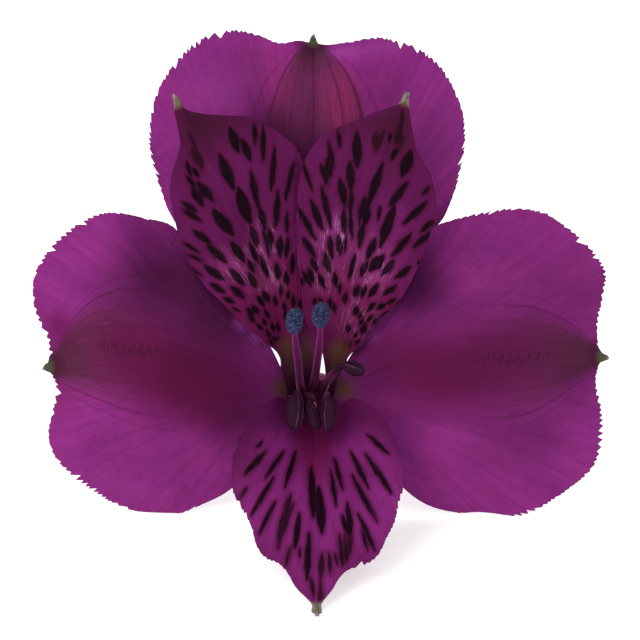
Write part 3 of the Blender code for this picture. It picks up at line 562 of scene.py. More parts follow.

# Soft patches of colour on each petal: middle (u, v), reach along u and v, and strength
# Deep patches on the outer petals are partly darker tone and partly painted shade, under the inner petals and
# where a lobe turns from the light.
PATCHES = {
    "tepal_outer_top": {
        "deep": (
            (-3.0, 24.0, 8.0, 6.8, 0.63), (-5.4, 27.4, 3.8, 4.2, 0.5), (-6.6, 29.5, 3.5, 5.5, 0.45),
            (3.0, 24.6, 6.0, 5.0, 0.12), (8.6, 30.5, 5.5, 6.5, 0.28), (-8.0, 34.6, 6.0, 4.5, 0.27),
            (-0.5, 35.2, 1.5, 3.0, 0.35), (13.0, 26.0, 5.0, 8.0, 0.2),
        ),
        "warm": (
            (3.2, 29.5, 2.8, 7.0, 1.0), (1.5, 31.0, 2.5, 5.0, 0.5), (-4.4, 32.6, 2.8, 5.0, 0.45),
            (-0.9, 8.0, 3.0, 7.0, 0.8),
        ),
        "olive": ((-1.1, 2.0, 1.3, 3.4, 0.9),),
        # Pale patches, here and on every petal, mark where highlights and sparkle are painted.
        "pale": (
            (3.6, 36.0, 3.6, 1.0, 0.45), (7.5, 36.6, 4.0, 1.4, 0.3), (-12.0, 32.0, 6.0, 5.0, 0.2),
            (14.0, 26.5, 5.0, 8.0, 0.08),
        ),
    },
    "tepal_outer_left": {
        "warm": (
            (-15.0, -0.8, 12.0, 7.8, 1.0), (-20.5, 3.0, 8.5, 6.5, 0.7), (-11.5, -3.5, 7.0, 6.0, 0.8),
            (-29.2, 4.6, 2.6, 3.6, 0.6), (-28.5, -3.0, 3.0, 3.0, 0.3),
        ),
        "deep": (
            (-11.5, 8.0, 10.0, 9.5, 0.95), (-17.5, 10.0, 9.0, 7.0, 0.9), (-17.0, 15.0, 8.0, 5.0, 0.4),
            (-9.0, -6.5, 5.5, 6.0, 0.4), (-11.2, 5.4, 5.0, 4.6, 0.6), (-12.0, 0.0, 12.0, 10.0, 0.45),
            (-23.0, 9.5, 8.0, 5.0, 0.3), (-27.5, 1.5, 4.0, 3.0, 0.15), (-20.0, -9.0, 9.0, 5.0, 0.2),
        ),
        "olive": ((-3.7, -2.2, 2.8, 2.0, 0.9),),
        "pale": ((-8.2, 5.4, 1.9, 1.6, 0.8), (-6.5, 3.9, 1.8, 1.5, 1.0), (-5.0, 2.4, 1.6, 1.4, 1.0)),
    },
    "tepal_outer_right": {
        "warm": ((15.0, -0.4, 13.5, 7.2, 0.92), (21.0, 2.5, 8.0, 5.5, 0.5), (9.5, 2.2, 7.5, 4.5, 0.55)),
        "deep": (
            (11.2, 9.8, 7.0, 6.5, 0.78), (14.5, 7.0, 7.0, 4.5, 0.3), (5.5, 0.5, 6.0, 5.5, 0.35),
            (25.0, 4.0, 17.0, 17.0, 0.38), (14.0, 0.0, 14.0, 9.0, 0.25), (23.0, -7.5, 9.0, 5.0, 0.35),
            (29.5, -2.0, 4.0, 5.0, 0.3), (30.5, 10.0, 5.0, 6.0, 0.12), (23.0, -10.0, 12.0, 8.0, 0.17),
            (9.8, -5.6, 5.0, 5.0, 0.25),
        ),
        "olive": ((3.1, -2.3, 2.6, 2.0, 0.9),),
        "pale": ((6.1, 4.0, 2.0, 1.6, 0.7), (8.2, 6.2, 3.0, 1.8, 0.1)),
    },
    "tepal_inner_left": {
        "warm": ((-4.5, 8.0, 10.0, 11.0, 1.0),),
        "deep": (
            (-13.0, 27.8, 5.6, 4.6, 1.0), (-13.8, 24.2, 3.4, 5.0, 0.35), (-8.8, 28.2, 6.0, 2.4, 0.5),
            (-8.0, 18.0, 9.0, 12.0, 0.12),
        ),
        "light": ((-9.4, 10.6, 4.5, 4.5, 0.35), (-5.5, 13.0, 3.5, 5.0, 0.3), (-9.0, 22.0, 5.0, 5.0, 0.1)),
        "pale": ((-9.3, 12.0, 3.2, 2.8, 0.8), (-5.8, 14.6, 2.8, 3.6, 0.9), (-5.6, 10.2, 3.4, 3.4, 0.6)),
        "olive": ((-3.3, 2.5, 1.8, 2.2, 0.9), (-2.6, 0.4, 2.0, 2.6, 0.6)),
    },
    "tepal_inner_right": {
        "warm": ((3.8, 8.0, 10.0, 11.0, 1.0),),
        "deep": ((9.0, 27.6, 4.6, 4.6, 0.9), (9.4, 24.0, 3.4, 4.4, 0.35), (5.0, 27.4, 5.0, 2.2, 0.5)),
        "light": ((6.8, 11.0, 5.5, 5.5, 0.75), (2.2, 14.0, 4.5, 5.5, 0.6), (8.5, 16.0, 4.0, 5.0, 0.35)),
        "pale": (
            (2.2, 15.2, 3.6, 3.4, 1.0), (6.2, 11.8, 3.4, 4.4, 1.0), (1.2, 10.8, 3.2, 3.2, 0.8),
            (4.6, 6.0, 3.6, 4.0, 0.6),
        ),
        "olive": ((2.6, 2.1, 2.0, 2.2, 0.95), (2.3, 0.2, 2.0, 2.6, 0.6)),
    },
    "tepal_inner_lower": {
        "warm": ((0.0, -9.6, 3.2, 5.5, 1.0), (0.0, -6.0, 4.5, 4.0, 0.8)),
        "deep": ((0.0, -25.2, 1.6, 2.6, 0.2), (-8.2, -6.6, 3.2, 3.4, 0.35), (8.4, -6.6, 2.4, 2.8, 0.15)),
        "light": (
            (0.0, -16.5, 13.0, 12.0, 0.8), (0.0, -23.5, 4.5, 4.5, 0.7), (8.0, -15.0, 5.0, 8.0, 0.9),
            (-7.5, -16.0, 5.0, 7.0, 0.8), (5.0, -9.0, 5.0, 4.0, 0.6), (-5.0, -9.0, 4.0, 4.0, 0.5),
        ),
    },
}


def tint(red, green, blue):
    """A colour as the eye reads it on a screen, 0 to 255, as the linear colour that shaders take."""
    def linear(level):
        level /= 255
        return level / 12.92 if level <= 0.04045 else ((level + 0.055) / 1.055) ** 2.4

    return (linear(red), linear(green), linear(blue), 1.0)


def colour_choice(name, description, red, green, blue):
    """A colour that the user can change."""
    shade = tint(red, green, blue)
    return bpy.props.FloatVectorProperty(
        name=name, description=description, subtype="COLOR", size=4, min=0.0, max=1.0, default=shade
    )


def length_choice(name, description, millimetres):
    """A length that the user can change, kept in metres."""
    return bpy.props.FloatProperty(
        name=name, description=description, unit="LENGTH", min=0.0, precision=5, default=millimetres * MM
    )


class FlowerSizes(bpy.types.PropertyGroup):
    blade: length_choice("Blade", "Thickness of a petal in its middle", 0.42)
    edge: length_choice("Edge", "Thickness of a petal at its margin", 0.2)
    point: length_choice("Point", "Thickness of a petal's small point", 0.95)
    tooth: length_choice("Tooth", "Width of one saw tooth on a petal's margin", 0.74)
    filament: length_choice("Filament", "Radius of a filament in its middle", 0.42)
    style: length_choice("Style", "Radius of the style", 0.32)
    ovary_length: length_choice("Ovary length", "Length of the ovary", 7.0)
    ovary: length_choice("Ovary", "Radius of the ovary at its widest", 2.9)
    stalk: length_choice("Stalk", "Radius of the flower stalk", 1.15)
    grain: length_choice("Pollen grain", "Width of one clump of pollen", 0.23)
    floor: length_choice("Floor", "Width of the floor", 6000.0)
    grains: bpy.props.IntProperty(
        name="Pollen grains", description="Clumps of pollen on one open anther", min=1, default=620
    )


class FlowerColours(bpy.types.PropertyGroup):
    lobe: colour_choice("Lobe", "Lobes of the outer petals", 138, 43, 122)
    lobe_cool: colour_choice("Cool lobe", "Cooler parts of the lobes", 133, 41, 122)
    # Deep lobe serves both the darker mottle and veins of the lobes and the painted shade of the deep
    # patches.
    lobe_deep: colour_choice("Deep lobe", "Shaded parts of the outer petals", 48, 8, 37)
    vein: colour_choice("Vein", "Fine veins of the outer petals", 92, 20, 80)
    panel: colour_choice("Panel", "Middle panel of the outer petals", 94, 36, 70)
    panel_warm: colour_choice("Warm panel", "Redder parts of the outer petals", 78, 7, 42)
    panel_rose: colour_choice("Rosy panel", "Rosy side of the top petal's panel", 126, 38, 84)
    panel_vein: colour_choice("Panel vein", "Dark veins of the middle panel", 56, 14, 38)
    olive: colour_choice("Olive", "Olive brown by the points", 62, 32, 36)
    throat_olive: colour_choice("Throat olive", "Olive brown in the throat", 86, 54, 40)
    horn: colour_choice("Horn", "Small horns of the inner petals", 96, 88, 64)
    blotch_core: colour_choice("Blotch core", "Middle of a soft blotch", 30, 5, 18)
    green: colour_choice("Green point", "Small green points of the petals", 67, 67, 50)
    outside: colour_choice("Outside", "Outer face of the petals", 128, 62, 112)
    outside_rib: colour_choice("Outside rib", "Green rib on the outer face", 104, 104, 66)
    inner: colour_choice("Inner petal", "Ground of the inner petals", 80, 15, 67)
    inner_warm: colour_choice("Inner throat", "Ground near the throat", 99, 15, 60)
    inner_light: colour_choice("Light inner petal", "Lighter parts of the inner petals", 124, 35, 112)
    streak: colour_choice("Streak", "Dark streaks of the inner petals", 14, 2, 10)
    halo: colour_choice("Streak rim", "Reddish rim round a streak", 66, 10, 42)
    blotch: colour_choice("Blotch", "Brown blotches near the inner points", 50, 13, 31)
    # Painted sheen and highlights: the pale sparkle and the thin glints stand for light on the ridges of the
    # petals.
    pale: colour_choice("Pale sheen", "Sparkling pale cells", 158, 82, 140)
    glint: colour_choice("Glint", "Thin light lines of the inner petals", 176, 112, 158)
    throat: colour_choice("Throat", "Dark crimson deep in the throat", 104, 20, 64)
    lilac: colour_choice("Lilac sheen", "Lilac light along an edge", 142, 62, 142)
    # Horn edge is a painted highlight on the rims of the petals' points.
    horn_edge: colour_choice("Horn edge", "Pale grey edges of the petals' points", 138, 128, 128)
    filament: colour_choice("Filament", "Filaments and style", 98, 20, 82)
    filament_line: colour_choice("Filament line", "Pale lines on a filament", 142, 76, 138)
    anther: colour_choice("Closed anther", "Skin of a closed anther", 37, 8, 31)
    anther_line: colour_choice("Anther line", "Pale seams of a closed anther", 118, 76, 108)
    pollen: colour_choice("Pollen", "Blue-grey pollen", 36, 36, 62)
    pollen_light: colour_choice("Light pollen", "Lighter grains of pollen", 75, 81, 117)
    ovary: colour_choice("Ovary", "Ribbed ovary", 96, 118, 58)
    stalk: colour_choice("Stalk", "Flower stalk", 98, 120, 62)
    flush: colour_choice("Flush", "Purple flush on ovary and stalk", 98, 62, 66)
    floor: colour_choice("Floor", "Plain pale floor", 244, 244, 245)


def deselect_all():
    """Leaves nothing selected, so that an operator acts on the new piece alone."""
    for thing in bpy.context.view_layer.objects:
        thing.select_set(False)


def pick(piece):
    """Leaves one piece alone selected and active."""
    deselect_all()
    piece.select_set(True)
    bpy.context.view_layer.objects.active = piece


def flower_to_world(places):
    """World places in metres, from places in the flower's frame in millimetres."""
    places = np.asarray(places, dtype=float)
    u, v, w = places[..., 0], places[..., 1], places[..., 2]
    x = u + SHIFT_X
    y = v * math.sin(FACE_TILT) - w * math.cos(FACE_TILT) + SHIFT_Y
    z = v * math.cos(FACE_TILT) + w * math.sin(FACE_TILT) + REST_HEIGHT
    return np.stack([x, y, z], axis=-1) * MM


def through_knots(knots, where):
    """Places on a smooth curve that passes its knots at equal steps of where, from 0 to 1."""
    knots = np.asarray(knots, dtype=float)
    spans = len(knots) - 1
    slopes = np.gradient(knots, axis=0)
    position = np.clip(np.asarray(where, dtype=float), 0.0, 1.0) * spans
    span = np.minimum(position.astype(int), spans - 1)
    x = (position - span)[..., None]
    start, end = knots[span], knots[span + 1]
    return (
        start * (2 * x**3 - 3 * x**2 + 1)
        + slopes[span] * (x**3 - 2 * x**2 + x)
        + end * (3 * x**2 - 2 * x**3)
        + slopes[span + 1] * (x**3 - x**2)
    )


def by_length(knots, where):
    """Places at equal steps of length on the same curve."""
    fine = np.linspace(0.0, 1.0, 400)
    places = through_knots(knots, fine)
    steps = np.linalg.norm(np.diff(places, axis=0), axis=1)
    length = np.concatenate([[0.0], np.cumsum(steps)])
    return through_knots(knots, np.interp(np.asarray(where) * length[-1], length, fine))


def eased(value, low, high):
    """0 below low, 1 above high and a smooth step between."""
    share = np.clip((value - low) / (high - low), 0.0, 1.0)
    return share * share * (3 - 2 * share)


def unit(vectors):
    """The same directions, each of length 1."""
    return vectors / np.maximum(np.linalg.norm(vectors, axis=-1, keepdims=True), 1e-12)


def bell(value, width):
    """1 where the value is zero, and falling off over a width on either side."""
    return np.exp(-((value / width) ** 2))


def soft_waves(u, v, wavelength, seed, count=7):
    """Gentle unlike waves over a plane, between about -1 and 1."""
    draw = random.Random(seed)
    total = np.zeros_like(u)
    for _ in range(count):
        turn = draw.uniform(0, 2 * math.pi)
        pitch = 2 * math.pi / (wavelength * draw.uniform(0.6, 1.6))
        phase = draw.uniform(0, 2 * math.pi)
        total += np.sin((u * math.cos(turn) + v * math.sin(turn)) * pitch + phase)
    return total / math.sqrt(count)


def margin_columns(petal, tooth_width):
    """Columns across the blade, three to a saw tooth, and how deep each one's end is cut back."""
    draw = random.Random(petal["seed"])
    columns, cuts = [0.5], [0.0]
    for name, start, way in (("left_margin", 0.0, 0.5), ("right_margin", 1.0, -0.5)):
        places = through_knots(petal[name], np.linspace(0.0, 1.0, 200))
        length = np.linalg.norm(np.diff(places, axis=0), axis=1).sum()
        count = round(length / tooth_width)
        widths = np.array([draw.uniform(*TOOTH_WIDTHS) + draw.random() ** 3 for _ in range(count)])
        edges = np.append(0.0, np.cumsum(widths)) / widths.sum()
        for width, edge, after in zip(widths, edges, edges[1:]):
            swing = SWING_MIDDLE + SWING * math.sin(2 * math.pi * SWINGS * edge + petal["seed"])
            depth = petal["tooth"] * width * swing * draw.uniform(*TOOTH_DEPTHS)
            lean = draw.uniform(*TOOTH_LEAN)
            for place, cut in ((0.0, 1.0), (0.5 * lean, draw.uniform(*TOOTH_SHOULDER)), (lean, 0.0)):
                columns.append(start + way * (edge + place * (after - edge)))
                cuts.append(depth * cut)
    columns, first = np.unique(np.round(columns, 6), return_index=True)
    calm = eased(np.abs(columns - 0.5), petal["calm_point"], petal["calm_point"] * 1.8)
    calm *= eased(columns, CALM_CORNER, petal["toothed_from"][0])
    calm *= eased(1 - columns, CALM_CORNER, petal["toothed_from"][1])
    return columns, (np.asarray(cuts)[first] - FULLNESS * petal["tooth"]) * calm


def row_levels(parts):
    """Rows along the blade: each part runs from one level to the next in even steps."""
    levels = [np.linspace(start, end, count, endpoint=False) for start, end, count in parts]
    return np.append(np.concatenate(levels), 1.0)


def margin_places(petal, s):
    """Places on the petal's margin, from its left corner over its point to its right corner."""
    left = by_length(petal["left_margin"], np.clip(2 * s, 0, 1))
    right = by_length(petal["right_margin"], np.clip(2 * s - 1, 0, 1))
    return np.where((s < 0.5)[:, None], left, right)


def fanned(t):
    """How far each row has come from the claw into the blade, from 0 to 1."""
    return np.clip((t - THROAT) / (1 - THROAT), 0, None)


def blade_places(petal, t, s):
    """Places of the petal's middle sheet, one row for each t and one column for each s.

    The margin's small point shows only in the last rows, and the sheet inside it is smooth."""
    rails = [through_knots(petal[name], t)[:, None, :] for name in RAILS]
    ends = [np.asarray(petal[name][-1], dtype=float)[None, None, :] for name in RAILS]
    reach = np.minimum(np.minimum(s, 1 - s), MARGIN_BLUR)
    blurred = np.mean([margin_places(petal, s + shift * reach) for shift in np.linspace(-1, 1, 13)], axis=0)
    sharp = eased(t, POINT_START, 1.0)[:, None, None]
    margin = blurred[None] + sharp * (margin_places(petal, s) - blurred)[None]
    place = s[None, :, None]

    def across(low, middle, high):
        ends = low * (1 - place) * (1 - 2 * place) + middle * 4 * place * (1 - place)
        return ends + high * place * (2 * place - 1)

    fan = (fanned(t) ** FAN_POWER)[:, None]
    places = across(*rails) + fan[..., None] * (margin - across(*ends))
    waves = np.sin(2 * math.pi * RUFFLE_WAVES * s + petal["seed"]) * np.sin(math.pi * s) ** 0.5
    places[..., 2] += petal["ruffle"] * fan**2 * waves[None, :]
    return places


def across_panel(petal):
    """The way across a petal's panel, to the right or up."""
    inward_u, inward_v = petal["inward"]
    side = np.array((inward_v, -inward_u))
    return side if side.sum() > 0 else -side


def panel_places(petal, u, v):
    """How far each place is from the point, how far across the panel, 1 at its edge, and its half width."""
    point, inward, side = petal["middle_rail"][-1], petal["inward"], across_panel(petal)
    away_u, away_v = u - point[0], v - point[1]
    tip = away_u * inward[0] + away_v * inward[1]
    knots = np.asarray(petal["middle"])
    bend = np.mean([np.interp(tip + shift, knots[:, 0], knots[:, 1]) for shift in PANEL_BLUR], axis=0)
    offset = away_u * side[0] + away_v * side[1] - bend * eased(tip, 0.0, 3.0)
    widths = np.asarray(petal["half_widths"])[:, None]
    half = through_knots(widths, tip / (PANEL_STEP * (len(widths) - 1)))[..., 0]
    return tip, offset / half, half


def inside_marks(u, v, marks):
    """How deep each place lies inside its nearest mark, in millimetres, and below zero outside."""
    depth = np.full(u.shape, FAR_FROM_MARKS)
    for start_u, start_v, end_u, end_v, width in marks:
        step_u, step_v = end_u - start_u, end_v - start_v
        share = np.clip(((u - start_u) * step_u + (v - start_v) * step_v) / (step_u**2 + step_v**2), 0, 1)
        gap = np.hypot(u - start_u - share * step_u, v - start_v - share * step_v)
        taper = 0.08 + 0.98 * np.sin(math.pi * (0.06 + 0.88 * share))
        depth = np.maximum(depth, width / 2 * taper - gap)
    return depth


def patch_mask(u, v, patches):
    """Where any of the soft patches lies, from 0 to 1."""
    mask = np.zeros_like(u)
    for middle_u, middle_v, reach_u, reach_v, strength in patches:
        away = np.hypot((u - middle_u) / reach_u, (v - middle_v) / reach_v)
        mask = 1 - (1 - mask) * (1 - strength * (1 - eased(away, 0.1, 1.0)))
    return mask


def keep_values(mesh, **values):
    """Keeps values for each vertex under names that a material reads."""
    for name, numbers in values.items():
        attribute = mesh.attributes.new(name, "FLOAT", "POINT")
        attribute.data.foreach_set("value", np.asarray(numbers, dtype=np.float32).ravel())


def move_vertices(piece, places):
    """Moves every vertex to its place in the world, in metres."""
    piece.data.vertices.foreach_set("co", np.asarray(places, dtype=np.float32).ravel())
    piece.data.update()


def vertex_places(piece):
    """The places of a piece's vertices, one to a row."""
    places = np.empty(len(piece.data.vertices) * 3, dtype=np.float32)
    piece.data.vertices.foreach_get("co", places)
    return places.reshape(-1, 3)


def finish_piece(piece, node, skin):
    """Smooth shading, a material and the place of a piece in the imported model."""
    pick(piece)
    bpy.ops.object.shade_smooth()
    piece.data.materials.append(shared_material(skin))
    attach(piece, BODY)
    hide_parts(node)


def relief_of(petal, u, v, s, tip, ratio, half):
    """Low relief of a petal's face in millimetres: grooved veins and fine pleats."""
    offset = ratio * half
    veins = np.zeros_like(u)
    for line in GROOVES:
        veins -= bell(offset - line * half, MIDDLE_GROOVE if line == 0.0 else SIDE_GROOVE)
    veins *= eased(tip, 0.8, 3.0) * (1 - eased(tip, 8.0, 15.0))
    pleats = np.sin(2 * math.pi * PLEATS * s + 1.5 * soft_waves(u, v, 9.0, 5)) * eased(tip, 2.0, 7.0)
    return petal["groove_depth"] * veins + petal["pleat_depth"] * pleats


def thicken(piece, share, thickness):
    """Gives a sheet its thickness, a share of the greatest one at each vertex."""
    group = piece.vertex_groups.new(name="thickness")
    for index, weight in enumerate(share.ravel()):
        group.add((index,), float(weight), "REPLACE")
    solidify = piece.modifiers.new("thickness", "SOLIDIFY")
    solidify.thickness = thickness
    solidify.offset = 0.0
    solidify.vertex_group = group.name
    bpy.ops.object.modifier_apply(modifier=solidify.name)
    piece.vertex_groups.clear()


def model_petal(name, sizes):
    """One petal: a flat grid laid on its rails, cut to its saw teeth and given its thickness."""
    petal = PETALS[name]
    s, cuts = margin_columns(petal, sizes.tooth / MM)
    t = row_levels(petal["rows"])
    places = blade_places(petal, t, s)
    outward = unit(places[-1] - places[-4])
    fade = eased(t, TOOTH_FADE, 1.0)[:, None, None]
    places -= outward[None] * cuts[None, :, None] * fade
    spread = (fanned(t) ** 2)[:, None] * np.ones_like(s)[None, :]
    u, v = places[..., 0].copy(), places[..., 1].copy()
    tip, ratio, half = panel_places(petal, u, v)
    point = petal["middle_rail"][-1]
    from_point = np.hypot(u - point[0], v - point[1])
    squeeze = POINT_SQUEEZE * (1 - eased(from_point, 0.5, 2.2)) * ratio * half
    side_u, side_v = across_panel(petal)
    u -= squeeze * side_u
    v -= squeeze * side_v
    places[..., 0], places[..., 1] = u, v
    calm = eased(from_point, 1.0, 6.0)
    normal = unit(np.cross(np.gradient(places, axis=1), np.gradient(places, axis=0)))
    height = relief_of(petal, u, v, s[None, :], tip, ratio, half) * spread**0.5
    height = height + petal["wave"] * soft_waves(u, v, WAVE_LENGTH, petal["seed"]) * spread * calm
    places = places + normal * height[..., None]
    rim = np.linalg.norm(places - places[-1][None], axis=-1)

    deselect_all()
    bpy.ops.mesh.primitive_grid_add(x_subdivisions=len(s) - 1, y_subdivisions=len(t) - 1, size=1.0)
    piece = bpy.context.object
    piece.name = name.replace("tepal", "petal")
    mesh = piece.data
    mesh.name = piece.name
    move_vertices(piece, flower_to_world(places))
    corner = np.empty(len(mesh.loops), dtype=np.int32)
    mesh.loops.foreach_get("vertex_index", corner)
    flat = np.stack([s[corner % len(s)], t[corner // len(s)]], axis=-1)
    mesh.uv_layers.active.data.foreach_set("uv", flat.astype(np.float32).ravel())

    keep_values(mesh, point=from_point)
    for kind in petal["shades"]:
        keep_values(mesh, **{kind: patch_mask(u, v, PATCHES[name].get(kind, ()))})
    if name in STREAKS:
        warped_u = u + MARK_WARP * soft_waves(u, v, 1.3, 41)
        warped_v = v + MARK_WARP * soft_waves(u, v, 1.3, 43)
        streak, blotch = (inside_marks(warped_u, warped_v, table[name]) for table in (STREAKS, BLOTCHES))
        keep_values(mesh, rim=rim, streak=streak, blotch=blotch)
    else:
        keep_values(mesh, tip=tip, panel=ratio, offset=ratio * half)

    margin, middle = sizes.edge / sizes.point, sizes.blade / sizes.point
    share = margin + (middle - margin) * eased(rim, 0.2, 3.0)
    share = share + (1.0 - share) * (1 - eased(from_point, 0.6, 2.2))
    thicken(piece, share, sizes.point)

    keep_values(mesh, outside=np.arange(len(mesh.vertices)) >= len(s) * len(t))
    settled = vertex_places(piece)
    settled[:, 2] = np.maximum(settled[:, 2], 0.0)
    move_vertices(piece, settled)
    return piece


def new_ball(name, segments, rings):
    """A ball to shape, with each vertex's turn round its axis and its share of the way along it."""
    deselect_all()
    bpy.ops.mesh.primitive_uv_sphere_add(segments=segments, ring_count=rings, radius=1.0)
    piece = bpy.context.object
    piece.name = name
    piece.data.name = name
    places = vertex_places(piece).astype(float)
    turn = np.arctan2(places[:, 1], places[:, 0])
    share = 1 - np.arccos(np.clip(places[:, 2], -1, 1)) / math.pi
    return piece, places, turn, share


def finish_shape(piece, places, **values):
    """Lays a ball's vertices on their places, keeps its values and turns its faces outwards."""
    move_vertices(piece, places)
    keep_values(piece.data, **values)
    pick(piece)
    bpy.ops.object.mode_set(mode="EDIT")
    bpy.ops.mesh.select_all(action="SELECT")
    bpy.ops.mesh.normals_make_consistent(inside=False)
    bpy.ops.object.mode_set(mode="OBJECT")
    return piece


def frame_along(direction):
    """Three unit axes: across, along the direction, and towards the viewer, in the flower's frame."""
    along = np.asarray(direction, dtype=float)
    along = along / np.linalg.norm(along)
    side = unit(np.cross(along, VIEWER))
    return side, along, np.cross(side, along)


def tube_places(route, share, turn, radius):
    """Places on a tube along the route, whose radius may change along it and round it."""
    middle = by_length(route, share)
    ahead = by_length(route, np.minimum(share + 0.004, 1.0))
    behind = by_length(route, np.maximum(share - 0.004, 0.0))
    tangent = unit(ahead - behind)
    side = unit(np.cross(tangent, VIEWER))
    front = np.cross(side, tangent)
    return middle + radius[:, None] * (side * np.cos(turn)[:, None] + front * np.sin(turn)[:, None])


def rounded_ends(share, reach):
    """Radius factor of a tube that closes in a round end within a share of its length."""
    start, end = (
        np.sqrt(np.clip(1 - (1 - np.clip(way / reach, 0, 1)) ** 2, 0, 1)) for way in (share, 1 - share)
    )
    return np.minimum(start, end)


def flat_ends(share, reach, power):
    """Radius factor of a body that closes in a nearly flat end, whose edge is rounded."""
    cap = np.minimum(np.clip(share / reach, 0, 1), np.clip((1 - share) / reach, 0, 1))
    return np.sin(cap * math.pi / 2) ** power


def model_filament(place, stamen, sizes):
    """A filament: slender at its foot, two-edged in its middle and pinched below its anther."""
    piece, _, turn, share = new_ball("thread_" + place, 32, 72)
    radius = sizes.filament / MM * np.interp(share, (0.0, 0.3, 0.8, 1.0), (0.72, 1.0, 0.9, 0.62))
    edges = 1 + 0.16 * np.cos(turn) ** 8 - 0.06 * np.sin(turn) ** 2
    radius = radius * edges * rounded_ends(share, 0.02)
    centre, end = np.asarray(stamen["anther"]), np.asarray(stamen["route"][-1])
    along = unit(np.asarray(stamen["along"]))
    seat = centre + along * math.copysign(ANTHER_SEAT * stamen["size"][1], along @ (end - centre))
    route = stamen["route"][:-1] + (tuple(0.5 * (end + seat)), tuple(seat))
    places = flower_to_world(tube_places(route, share, turn, radius))
    dark = np.full(len(share), OPEN_DARKNESS if stamen["size"] is OPEN_ANTHER else CLOSED_DARKNESS)
    return finish_shape(piece, places, edge=np.abs(np.cos(turn)) ** 6, length=share, dark=dark)


def anther_places(place, stamen, places, swell):
    """A two-lobed anther: a rounded body with a furrow down its front and back and seams on its sides."""
    side, along, front = frame_along(stamen["along"])
    width, length, depth = stamen["size"]
    x, y, z = places[:, 0], places[:, 1], places[:, 2]
    across = np.arctan2(x, y) - FURROW_TURN.get(place, 0.0)
    across = np.abs((across + math.pi) % (2 * math.pi) - math.pi)
    from_furrow = np.minimum(across, math.pi - across)
    furrow = bell(from_furrow, FURROW_WIDTH)
    seam = bell(from_furrow - SEAM_PLACE, 0.09) + 0.7 * bell(from_furrow, 0.08)
    girth = 1.0 - (FURROW_DEPTH * furrow - SEAM_HEIGHT * seam) * (1 - z * z) + swell
    blunt = np.sign(z) * np.abs(z) ** 0.8
    notch = NOTCH_DEPTH * furrow * np.abs(z) ** 4
    centre = np.asarray(stamen["anther"])
    shaped = centre + side * (x * girth * width)[:, None] + front * (y * girth * depth)[:, None]
    return shaped + along * ((blunt - np.sign(z) * notch) * length)[:, None], furrow, seam


def model_closed_anther(place, stamen):
    """A closed anther: smooth dark skin, deep furrow and pale seams."""
    piece, places, turn, share = new_ball("anther_body_" + place, 112, 48)
    draw = random.Random(len(place))
    wrinkles = 0.02 * np.sin(turn * 14 + 5 * share) * np.sin(math.pi * share)
    wrinkles = wrinkles + 0.015 * np.sin(share * 34 + draw.uniform(0, 6)) * np.cos(2 * turn)
    shaped, furrow, seam = anther_places(place, stamen, places, wrinkles)
    return finish_shape(piece, flower_to_world(shaped), furrow=furrow, seam=seam)


def pollen_grains(place, stamen, sizes):
    """The clumps of pollen on an open anther, as one mesh object."""
    deselect_all()
    bpy.ops.mesh.primitive_ico_sphere_add(subdivisions=1, radius=0.5)
    grain = bpy.context.object
    corners = np.array([vertex.co for vertex in grain.data.vertices])
    faces = [tuple(polygon.vertices) for polygon in grain.data.polygons]
    bpy.data.objects.remove(grain, do_unlink=True)
    draw = random.Random(100 + len(place))
    count = sizes.grains
    heights = 1 - 2 * (np.arange(count) + 0.5) / count
    turns = np.arange(count) * math.pi * GOLDEN_SHARE
    girth = np.sqrt(1 - heights**2)
    ball = np.stack([np.cos(turns) * girth, np.sin(turns) * girth, heights], axis=-1)
    ball += np.array([[draw.gauss(0, GRAIN_SCATTER) for _ in range(3)] for _ in range(count)])
    seats, _, _ = anther_places(place, stamen, unit(ball), -POLLEN_DEPTH)
    vertices, polygons, light = [], [], []
    for index, seat in enumerate(flower_to_world(seats)):
        stretch = np.array([draw.uniform(*GRAIN_STRETCH) for _ in range(3)]) * sizes.grain
        spin = draw.uniform(0, math.pi)
        turned = corners.copy()
        turned[:, 0] = corners[:, 0] * math.cos(spin) - corners[:, 1] * math.sin(spin)
        turned[:, 1] = corners[:, 0] * math.sin(spin) + corners[:, 1] * math.cos(spin)
        polygons += [tuple(corner + index * len(corners) for corner in face) for face in faces]
        vertices.append(turned * stretch + seat)
        light += [draw.random() ** 2] * len(corners)
    mesh = bpy.data.meshes.new("grains_" + place)
    mesh.from_pydata(np.concatenate(vertices).tolist(), [], polygons)
    keep_values(mesh, light=light)
    grains = bpy.data.objects.new("grains_" + place, mesh)
    bpy.context.scene.collection.objects.link(grains)
    return grains


def model_pollen_anther(place, stamen, sizes):
    """An open anther: a furrowed body covered all over with small clumps of pollen."""
    body, places, turn, share = new_ball("pollen_" + place, 40, 28)
    lumps = 0.03 * np.sin(turn * 5 + share * 9) * np.sin(math.pi * share)
    shaped, _, _ = anther_places(place, stamen, places, lumps - POLLEN_DEPTH)
    finish_shape(body, flower_to_world(shaped), light=np.zeros(len(places)))
    grains = pollen_grains(place, stamen, sizes)
    pick(body)
    grains.select_set(True)
    bpy.ops.object.join()
    return body


def model_style(sizes):
    """The young style: a slim ribbed column that parts into three short stigma lobes."""
    piece, _, turn, share = new_ball("young_style", 36, 60)
    radius = sizes.style / MM * np.interp(share, (0.0, 0.7, 0.92, 1.0), (1.0, 1.0, 1.4, 1.5))
    lobes = eased(share, 0.82, 0.97)
    radius = radius * (1 + (0.06 + 0.34 * lobes) * np.cos(3 * turn)) * rounded_ends(share, 0.04)
    places = flower_to_world(tube_places(STYLE_ROUTE, share, turn, radius))
    edge = np.clip(np.cos(3 * turn), 0, 1) ** 4 * (1 - lobes)
    return finish_shape(piece, places, dark=np.full(len(share), STYLE_DARKNESS), edge=edge, length=share)


